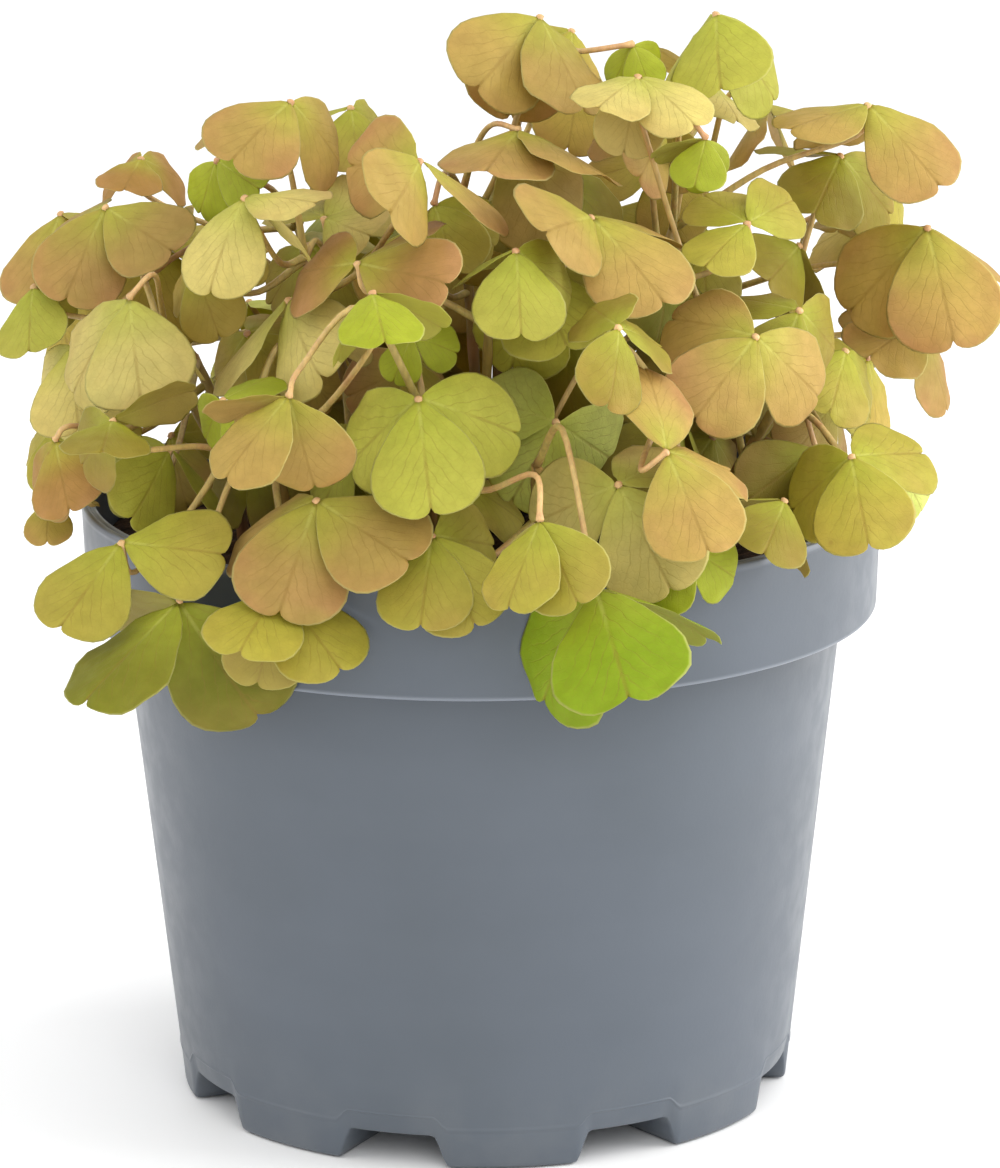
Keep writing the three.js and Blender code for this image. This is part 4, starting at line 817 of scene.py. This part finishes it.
# %% Leaf material: colour, relief and light
colour = mix_colour(tree, masks["foot"], tint, LEAF_PAINTS["foot"])
colour = mix_colour(tree, masks["blush"], colour, LEAF_PAINTS["blush"])
colour = scale_colour(tree, colour, mottle)
colour = mix_colour(tree, masks["dark rib"], colour, LEAF_PAINTS["dark rib"])
colour = mix_colour(tree, masks["pale rib"], colour, LEAF_PAINTS["pale rib"])
for drawn, share in (("veins", VEIN_SHARE), ("net", NET_SHARE)):
    colour = mix_colour(tree, times(tree, veins.outputs[drawn], share), colour, LEAF_PAINTS["veins"])
for name in ("rim", "underside", "specks"):
    colour = mix_colour(tree, masks[name], colour, LEAF_PAINTS[name])
tree.links.new(colour, leaf_shader.inputs["Base Color"])
leaf_shader.inputs["Specular IOR Level"].default_value = LEAF_SPECULAR
tree.links.new(remap(tree, mottle, *LEAF_RANGES["roughness"]), leaf_shader.inputs["Roughness"])

vein_lines = [
    times(tree, veins.outputs[drawn], depth)
    for drawn, depth in (("rib", RIB_RELIEF), ("veins", VEIN_RELIEF), ("net", NET_RELIEF))
]
relief = math_node(tree, "ADD", math_node(tree, "ADD", *vein_lines[:2]), vein_lines[2])
grain = times(tree, noise(tree, place, **LEAF_NOISES["grain"]), GRAIN_RELIEF)
leaf_normal = add_bump(tree, leaf_shader, math_node(tree, "ADD", relief, grain), **FINE_BUMP)
lit_through = mix_colour(tree, SHINE_SHARE, colour, LEAF_PAINTS["shine"])
through = add_node(tree, "ShaderNodeBsdfTranslucent", {"Color": lit_through, "Normal": leaf_normal})
shaders = {0: THROUGH_SHARE, 1: leaf_shader.outputs[0], 2: through.outputs[0]}
both_sides = add_node(tree, "ShaderNodeMixShader", shaders)
tree.links.new(both_sides.outputs[0], tree.nodes["Material Output"].inputs["Surface"])
print("leaf material nodes:", len(tree.nodes))

# %% [markdown]
# ### Stalk material
# Stalks are tan-pink near the leaf and greener near the stem, with fine streaks along their length. The
# streaks are noise that is stretched upwards.

# %% Stalk material
STREAK_STRETCH, STREAK_SCALE, STREAK_RANGE = (1.0, 1.0, 0.25), 1400.0, ((0.3, 0.7), (0.84, 1.12))
RED_PAINT, RED_SHARE, RED_ENDS = paint(172, 112, 78), 0.5, (0.45, 0.7)
RED_NOISE = {"scale": 160.0, "detail": 2.0}
STALK_ROUGHNESS, STALK_GLOW, STALK_GLOW_DEPTH = 0.5, 0.08, 0.001
STALK_GRAIN = {"scale": 2200.0, "detail": 2.0}

stalk_material, tree, stalk_shader = new_material("oxalis_stalk")
tint = add_node(tree, "ShaderNodeAttribute", attribute_name="tint").outputs["Color"]
place = add_node(tree, "ShaderNodeTexCoord").outputs["Object"]
stretched = stretch_place(tree, place, STREAK_STRETCH)
streaks = remap(tree, noise(tree, stretched, STREAK_SCALE), *STREAK_RANGE)
reddish = times(tree, remap(tree, noise(tree, place, **RED_NOISE), RED_ENDS), RED_SHARE)
colour = mix_colour(tree, reddish, scale_colour(tree, tint, streaks), RED_PAINT)
tree.links.new(colour, stalk_shader.inputs["Base Color"])
stalk_shader.inputs["Roughness"].default_value = STALK_ROUGHNESS
stalk_shader.inputs["Subsurface Weight"].default_value = STALK_GLOW
stalk_shader.inputs["Subsurface Scale"].default_value = STALK_GLOW_DEPTH
add_bump(tree, stalk_shader, noise(tree, stretched, **STALK_GRAIN), **FINE_BUMP)
print("stalk material nodes:", len(tree.nodes))

# %% [markdown]
# ## Growing each leafy stem
# One object for each CAD stem: its leaflets, stalks and stem, with their tints. The materials read three
# lists of numbers from the mesh: tint is a point's own colour, plan is its place on the leaflet, and traits
# are its share of the way to the edge, its blush and whether it lies on the underside.

# %% Arrays of leaflets and tubes
STALK_NEAR_LEAF, STALK_NEAR_STEM = linear(206, 166, 112), linear(176, 158, 84)
STEM_TOP, STEM_FOOT = linear(150, 128, 62), linear(132, 84, 52)
LEAF_SHADES, LEAFLET_SHADES, BLUSH_SHARES = (0.86, 1.1), (0.91, 1.08), (0.3, 1.7)


def leaflet_arrays(plant):
    """Points, faces and marks of all leaflets of a stem. A leaf's colour is its family's times one shade
    for the leaf and one for each leaflet."""
    count = len(plant["leaflets"])
    points, marks, below = grow_leaflets(plant["leaflets"], draw_bends(count))
    each = points.shape[1]
    shade = rng.uniform(*LEAF_SHADES, len(plant["hubs"]))[plant["leaf_of"]]
    shade = shade * rng.uniform(*LEAFLET_SHADES, count)
    families = [FAMILIES[plant["family"][leaf]] for leaf in plant["leaf_of"]]
    colours = np.array([colour for colour, _ in families]) * shade[:, None]
    blush = np.array([strength for _, strength in families]) * rng.uniform(*BLUSH_SHARES, count)
    traits = [marks[:, :, 3], np.repeat(blush[:, None], each, axis=1), below]
    first = each * np.arange(count)[:, None, None]
    return {
        "points": points.reshape(-1, 3),
        "quads": (leaf_quads + first).reshape(-1, 4),
        "caps": (leaf_caps + first).reshape(-1, 3),
        "tint": np.repeat(np.hstack([colours, np.ones((count, 1))]), each, axis=0),
        "plan": marks[:, :, :3].reshape(-1, 3),
        "traits": np.stack(traits, axis=-1).reshape(-1, 3),
    }


def tube_arrays(tube, low, high):
    """The same for a tube, whose tint is low (1 - share) + high share on its way from foot to top."""
    (points, quads, caps), share = tube
    sides = (len(points) - 2) // len(share)
    along = np.concatenate([np.repeat(share, sides), [0, 1]])[:, None]
    tint = np.hstack([low * (1 - along) + high * along, np.ones_like(along)])
    none = np.zeros_like(points)
    return {"points": points, "quads": quads, "caps": caps, "tint": tint, "plan": none, "traits": none}


def join_arrays(pieces):
    """One set of arrays, in which each piece's faces count past the points of the pieces before it."""
    first = np.cumsum([0] + [len(piece["points"]) for piece in pieces[:-1]])
    whole = {key: np.vstack([piece[key] for piece in pieces]) for key in ("points", "tint", "plan", "traits")}
    for key in ("quads", "caps"):
        whole[key] = np.vstack([piece[key] + number for piece, number in zip(pieces, first)])
    return whole


# %% Leafy stems
for plant in plants:
    leaves = leaflet_arrays(plant)
    tubes = [tube_arrays(stalk_tube(path), STALK_NEAR_STEM, STALK_NEAR_LEAF) for path in plant["stalks"]]
    tubes.append(tube_arrays(stem_tube(plant["stem"]), STEM_FOOT, STEM_TOP))
    whole = join_arrays([leaves, *tubes])
    on_tube = [np.arange(len(whole[key])) >= len(leaves[key]) for key in ("quads", "caps")]
    made = build_object(
        plant["name"] + "_fine",
        whole["points"],
        [whole["quads"], whole["caps"]],
        [leaf_material, stalk_material],
        np.concatenate(on_tube),
        {key: whole[key] for key in ("tint", "plan", "traits")},
    )
    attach(made, "root")
    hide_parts(plant["name"])
print("points in the last stem:", len(whole["points"]))

# %% [markdown]
# ## Pot
# The pot is a profile turned round the axis. Its lowest part is lifted where the eight channels run in
# from the outside, which leaves the feet between them.

# %% Pot profile, in millimetres
POT_HEIGHT, RIM, LIP, COLLAR, COLLAR_FOOT = 91.5, 60.0, 1.9, 17.0, 59.4
BODY_TOP, BASE, WALL, FLOOR, FLOOR_SPREAD, POLE = 54.3, 46.1, 1.3, 7.0, 0.76, 0.05
STEP = POT_HEIGHT - COLLAR
UNDERSIDE_RADII = (POLE, 8, 16, 22, 23.2, 24.4, 26, 30, 35, 40, 43.5)
WALL_HEIGHTS = (0, 5.6, 6.1, 6.6, 12, 30, 50, 66)
# How far each point of the grooved lip lies inside the rim and below the top.
LIP_POINTS = ((0, 1.3), (-0.1, 0.9), (0, 0), (0.8, 0), (1.0, 0.3), (1.2, 0), (LIP, 0))
ROUNDING, ROUND_STEPS, LONGEST_CUT = 0.8, 4, 2.2
LINE_HEIGHT, LINE_HALF, LINE_RISE, LINE_FROM_RADIUS, LINE_BELOW = 6.1, 0.35, 0.12, 40, 9


def rounded(corners, radius):
    """The corners joined by straight lines, each inner corner replaced by the curve
    (1 - share)^2 start + 2 share (1 - share) corner + share^2 end, cut off this far from the corner."""
    rows = [corners[0]]
    for before, corner, after in zip(corners, corners[1:], corners[2:]):
        before, corner, after = (np.array(part, dtype=float) for part in (before, corner, after))
        reach = min(np.linalg.norm(before - corner), np.linalg.norm(after - corner)) / LONGEST_CUT
        cut = min(radius, reach)
        start = corner + unit(before - corner) * cut
        end = corner + unit(after - corner) * cut
        for share in np.linspace(0, 1, ROUND_STEPS + 1):
            rows.append((1 - share) ** 2 * start + 2 * share * (1 - share) * corner + share**2 * end)
    rows.append(corners[-1])
    return np.array(rows, dtype=float)


underside_points = [(radius, 0.0) for radius in UNDERSIDE_RADII]
wall_points = [(BASE + (BODY_TOP - BASE) * z / STEP, z) for z in WALL_HEIGHTS]
collar_points = [(BODY_TOP, STEP), (COLLAR_FOOT, STEP)]
collar_points += [(RIM - inside, POT_HEIGHT - below) for inside, below in LIP_POINTS]
inner_points = [(COLLAR_FOOT - WALL, STEP + WALL), (BODY_TOP - WALL, STEP + WALL)]
inner_points += [(BASE + FLOOR_SPREAD - WALL, FLOOR), (POLE, FLOOR)]
profile = rounded(underside_points + wall_points + collar_points + inner_points, ROUNDING)
low_wall = (profile[:, 0] > LINE_FROM_RADIUS) & (profile[:, 1] < LINE_BELOW)
profile[:, 0] += LINE_RISE * low_wall * np.exp(-(((profile[:, 1] - LINE_HEIGHT) / LINE_HALF) ** 2))
print("pot profile points:", len(profile))

# %% Pot surface
CHANNELS, CHANNEL_HEIGHT, CHANNEL_HALF, FIRST_CHANNEL = 8, 4.8, np.radians(10.5), np.radians(252)
CHANNEL_REACH, CHANNEL_END, SIDE_RUN, SIDE_SHARE, SIDE_RADIUS = 24.0, 1.4, 2.4, 0.1, 20
LIFT_TOP, OUTSIDE_HEIGHT, POT_COLUMNS = 10, 40, 480


def ease(share):
    """3 share^2 - 2 share^3, which leaves 0 and reaches 1 level."""
    return share * share * (3 - 2 * share)


def pot_surface(columns):
    """Points of the pot: the radius is the profile's, and the height is z + lift (1 - z / 10). The lift goes
    from 0 to 4.8 mm across a channel's slanted sides, and is 0 on the pot's inside."""
    angle = 2 * np.pi * np.arange(columns) / columns
    offset = (angle - FIRST_CHANNEL + np.pi / CHANNELS) % (2 * np.pi / CHANNELS) - np.pi / CHANNELS
    radius, height = profile[:, 0, None], profile[:, 1, None]
    side = (CHANNEL_HALF - np.abs(offset))[None] * np.maximum(radius, SIDE_RADIUS)
    share = ease(np.clip(side / SIDE_RUN + SIDE_SHARE, 0, 1))
    reach = np.clip((radius - CHANNEL_REACH) / CHANNEL_END + 0.5, 0, 1)
    outside = np.arange(len(profile))[:, None] <= np.argmax(profile[:, 1] > OUTSIDE_HEIGHT)
    lift = CHANNEL_HEIGHT * share * reach * outside * np.clip(1 - height / LIFT_TOP, 0, 1)
    x, y = radius * np.cos(angle), radius * np.sin(angle)
    return np.stack([x, y, height + lift + 0 * angle], axis=-1)


def closed_turning(grid):
    """Points and faces of a grid of rings, closed at its first and last ring by a point on the axis."""
    rows, columns = grid.shape[:2]
    number = np.arange(rows * columns).reshape(rows, columns)
    after = np.roll(number, -1, axis=1)
    quads = np.stack([number[:-1], number[1:], after[1:], after[:-1]], axis=-1).reshape(-1, 4)
    poles = np.stack([grid[0].mean(axis=0), grid[-1].mean(axis=0)])
    first, last = rows * columns, rows * columns + 1
    caps = [np.stack([np.full(columns, first), number[0], after[0]], axis=-1)]
    caps.append(np.stack([np.full(columns, last), after[-1], number[-1]], axis=-1))
    return np.vstack([grid.reshape(-1, 3), poles]), [quads, np.vstack(caps)]


# %% [markdown]
# ### Pot material
# Grey-blue satin plastic: a faint mottled grain, slightly glossier where it was moulded smooth, and a
# little dust low down. Painted shade darkens the corner under the collar, and painted highlights lighten
# the collar's lower edge and the top of the lip.

# %% Pot values
PLASTIC_DARK, PLASTIC_LIGHT, BAND_PAINT = paint(75, 82, 90), paint(80, 87, 96), paint(69, 76, 86)
# The second row: dust low down, the painted shade under the collar, and the painted highlight on the edges.
DUST_PAINT, PAINTED_SHADE, HIGHLIGHT_PAINT = paint(104, 107, 110), paint(52, 58, 62), paint(140, 146, 156)
SHADE_DEPTH, COLLAR_STARTS = 16, (STEP - 0.2) * MM
POT_NOISES = {
    "cloud": {"scale": 28.0, "detail": 4.0, "roughness": 0.55},
    "bands": {"scale": 1.0, "detail": 2.0},
    "dust": {"scale": 90.0, "detail": 4.0},
    "gloss": {"scale": 220.0},
    "grain": {"scale": 1500.0, "detail": 2.0},
}
# Two ends of what a mask reads, and the mask's value at each. The last four read the height in metres.
POT_RANGES = {
    "cloud": ((0.3, 0.7), (0.0, 1.0)),
    "bands": ((0.35, 0.65), (0.0, 0.14)),
    "dust": ((0.4, 0.7), (0.0, 1.0)),
    "gloss": ((0.3, 0.7), (0.33, 0.42)),
    "dust height": ((0.0, 0.02), (0.3, 0.0)),
    "shade height": (((STEP - SHADE_DEPTH) * MM, COLLAR_STARTS), (0.0, 0.3)),
    "low edge": (((STEP + 0.1) * MM, (STEP + 0.9) * MM), (0.6, 0.0)),
    "high edge": (((POT_HEIGHT - 1.4) * MM, (POT_HEIGHT - 0.3) * MM), (0.0, 0.4)),
}
BAND_STRETCH = (6.0, 6.0, 120.0)
PLASTIC_BUMP = {"strength": 0.12, "distance": 0.0001}

# %% Pot material
pot_material, tree, pot_shader = new_material("pot_plastic")
place = add_node(tree, "ShaderNodeTexCoord").outputs["Object"]
stretched = stretch_place(tree, place, BAND_STRETCH)
height = add_node(tree, "ShaderNodeSeparateXYZ", {0: place}).outputs[2]
masks = {}
for name in ("cloud", "dust", "gloss"):
    masks[name] = remap(tree, noise(tree, place, **POT_NOISES[name]), *POT_RANGES[name])
bands = remap(tree, noise(tree, stretched, **POT_NOISES["bands"]), *POT_RANGES["bands"])
dust = times(tree, remap(tree, height, *POT_RANGES["dust height"]), masks["dust"])
# Painted shade: a darker band over the top 16 mm of the body, darkest just under the collar.
below_collar = math_node(tree, "LESS_THAN", height, COLLAR_STARTS)
shade = times(tree, remap(tree, height, *POT_RANGES["shade height"]), below_collar)
# Painted highlights: a thin lighter band on the collar's lower edge and another on the top of the lip.
above_step = math_node(tree, "SUBTRACT", 1.0, below_collar)
painted_highlight = times(tree, remap(tree, height, *POT_RANGES["low edge"]), above_step)
painted_highlight = math_node(tree, "ADD", painted_highlight, remap(tree, height, *POT_RANGES["high edge"]))
colour = mix_colour(tree, masks["cloud"], PLASTIC_DARK, PLASTIC_LIGHT)
for mask, coat in ((bands, BAND_PAINT), (dust, DUST_PAINT), (shade, PAINTED_SHADE), (painted_highlight, HIGHLIGHT_PAINT)):
    colour = mix_colour(tree, mask, colour, coat)
tree.links.new(colour, pot_shader.inputs["Base Color"])
tree.links.new(masks["gloss"], pot_shader.inputs["Roughness"])
add_bump(tree, pot_shader, noise(tree, place, **POT_NOISES["grain"]), **PLASTIC_BUMP)
print("pot material nodes:", len(tree.nodes))

# %% Pot
pot_points, pot_polygons = closed_turning(pot_surface(POT_COLUMNS))
pot_fine = build_object("pot_fine", pot_points, pot_polygons, [pot_material])
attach(pot_fine, "root")
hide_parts("pot")
print("pot points:", len(pot_points))

# %% [markdown]
# ## Soil
# A crumbly surface: layers of smooth random heights, the finer the lower, on the CAD soil's low crown.

# %% Soil surface
SOIL_TOP, SOIL_CROWN, SEAT, SOIL_POLE = 83.0, 1.6, 0.35, 0.2
SWELL, SWELL_X, SWELL_Y, SWELL_BOTH = 0.5, 5.3, 4.7, 7.9
TABLE_SIZE, SOIL_RINGS, SOIL_COLUMNS, LEVEL_RIM = 64, 84, 260, 3
# Each layer of crumbs has its height and its cell size in millimetres, and its seed.
CRUMB_LAYERS = ((1.6, 5.1, 1), (1.3, 2.3, 2), (0.7, 1.1, 3))


def lumps(x, y, cell, seed):
    """Smooth random heights from 0 to 1: random values on a grid of square cells, blended between."""
    table = np.random.default_rng(seed).random((TABLE_SIZE, TABLE_SIZE))
    u, v = x / cell + TABLE_SIZE / 2, y / cell + TABLE_SIZE / 2
    i, j = np.floor(u).astype(int), np.floor(v).astype(int)
    a, b = ease(u - i), ease(v - j)
    i, j = i % (TABLE_SIZE - 1), j % (TABLE_SIZE - 1)
    low = table[i, j] * (1 - a) + table[i + 1, j] * a
    high = table[i, j + 1] * (1 - a) + table[i + 1, j + 1] * a
    return low * (1 - b) + high * b


def soil_surface(columns):
    """Rings of the soil. The top is z = 83 + 1.6 (1 - r^2 / 60^2) + a low swell + crumbs, which fade out
    towards the wall. Then come the ledge under the collar, the side and the flat underside."""
    angle = 2 * np.pi * np.arange(columns) / columns
    reach, ledge, foot = COLLAR_FOOT - WALL - SEAT, STEP + WALL + SEAT, FLOOR + SEAT
    radius = np.linspace(SOIL_POLE, reach, SOIL_RINGS)[:, None]
    x, y = radius * np.cos(angle), radius * np.sin(angle)
    z = SOIL_TOP + SOIL_CROWN * (1 - (x * x + y * y) / RIM**2)
    z = z + SWELL * (np.sin(x / SWELL_X + 1) * np.cos(y / SWELL_Y) + np.sin((x + y) / SWELL_BOTH))
    crumbs = sum(height * (lumps(x, y, cell, seed) - 0.5) for height, cell, seed in CRUMB_LAYERS)
    top = np.stack([x, y, z + np.clip((reach - radius) / LEVEL_RIM, 0, 1) * crumbs], axis=-1)
    lower = [(reach, ledge), (BODY_TOP - WALL - SEAT, ledge), (BASE - WALL - SEAT, foot), (SOIL_POLE, foot)]
    rings = [np.stack([r * np.cos(angle), r * np.sin(angle), np.full(columns, h)], axis=-1) for r, h in lower]
    return np.concatenate([top, np.stack(rings)])[::-1]


# %% [markdown]
# ### Soil material
# Dark moist crumbs with lighter brown grains and fibres, and no gloss.

# %% Soil material
SOIL_DARK, SOIL_LIGHT, FIBRE_PAINT = paint(30, 20, 12), paint(82, 58, 38), paint(128, 96, 62)
CRUMB_NOISE, CRUMB_ENDS = {"scale": 520.0, "detail": 6.0, "roughness": 0.7}, (0.35, 0.7)
FIBRES_IN_A_METRE, FIBRE_RANGE = 420.0, ((0.0, 0.16), (0.5, 0.0))
SOIL_ROUGHNESS, SOIL_SPECULAR, SOIL_BUMP = 0.95, 0.2, {"strength": 0.9, "distance": 0.0008}

soil_material, tree, soil_shader = new_material("potting_soil")
place = add_node(tree, "ShaderNodeTexCoord").outputs["Object"]
crumbs = noise(tree, place, **CRUMB_NOISE)
fibres = add_node(tree, "ShaderNodeTexVoronoi", {"Vector": place, "Scale": FIBRES_IN_A_METRE})
fibre_mask = remap(tree, fibres.outputs["Distance"], *FIBRE_RANGE)
colour = mix_colour(tree, remap(tree, crumbs, CRUMB_ENDS), SOIL_DARK, SOIL_LIGHT)
tree.links.new(mix_colour(tree, fibre_mask, colour, FIBRE_PAINT), soil_shader.inputs["Base Color"])
soil_shader.inputs["Roughness"].default_value = SOIL_ROUGHNESS
soil_shader.inputs["Specular IOR Level"].default_value = SOIL_SPECULAR
add_bump(tree, soil_shader, crumbs, **SOIL_BUMP)

# %% Soil
soil_points, soil_polygons = closed_turning(soil_surface(SOIL_COLUMNS))
soil_fine = build_object("soil_fine", soil_points, soil_polygons, [soil_material])
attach(soil_fine, "root")
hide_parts("soil")
print("soil points:", len(soil_points))

# %% [markdown]
# ## Floor and light
# A white surface and sky as in a product photo, with soft panels at both sides, above and in front.

# %% Floor
FLOOR_HALF, FLOOR_DROP, FLOOR_PAINT, FLOOR_ROUGHNESS = 6, 0.0002, (0.96, 0.96, 0.96, 1), 0.6
floor_corners = [(x * FLOOR_HALF, y * FLOOR_HALF, 0) for x, y in ((-1, -1), (1, -1), (1, 1), (-1, 1))]
floor_mesh = bpy.data.meshes.new("floor")
floor_mesh.from_pydata(floor_corners, [], [(0, 1, 2, 3)])
floor = bpy.data.objects.new("floor", floor_mesh)
bpy.context.collection.objects.link(floor)
floor_material, tree, floor_shader = new_material("studio_floor")
floor_shader.inputs["Base Color"].default_value = FLOOR_PAINT
floor_shader.inputs["Roughness"].default_value = FLOOR_ROUGHNESS
floor_mesh.materials.append(floor_material)
floor.location.z = -FLOOR_DROP

# %% Lights and world
# Each panel has its place, the spot it faces, its width and height in metres, and its power in watts.
PANELS = {
    "panel_right": ((0.8, 0.0, 0.35), (0, 0, 0.08), 0.7, 0.9, 8),
    "panel_left": ((-0.85, -0.15, 0.4), (0, 0, 0.08), 0.6, 0.9, 2),
    "panel_above": ((0.1, -0.3, 1.1), (0, 0, 0.1), 1.0, 1.0, 2),
    "panel_front": ((0.2, -1.3, 0.75), (0, 0, 0.12), 1.0, 0.8, 7),
}
SKY_PAINT, SKY_STRENGTH = (1, 1, 1, 1), 1.02


def soft_panel(name, place, target, width, height, power):
    """A rectangular light at place that faces target."""
    data = bpy.data.lights.new(name, "AREA")
    data.shape = "RECTANGLE"
    data.size = width
    data.size_y = height
    data.energy = power
    made = bpy.data.objects.new(name, data)
    made.location = place
    made.rotation_euler = (Vector(target) - Vector(place)).to_track_quat("-Z", "Y").to_euler()
    bpy.context.collection.objects.link(made)


for name, panel in PANELS.items():
    soft_panel(name, *panel)
world = bpy.data.worlds.new("studio")
world.use_nodes = True
sky = world.node_tree.nodes["Background"]
sky.inputs["Color"].default_value = SKY_PAINT
sky.inputs["Strength"].default_value = SKY_STRENGTH
bpy.context.scene.world = world
bpy.context.scene.view_settings.view_transform = "Standard"
print("lights:", len(PANELS))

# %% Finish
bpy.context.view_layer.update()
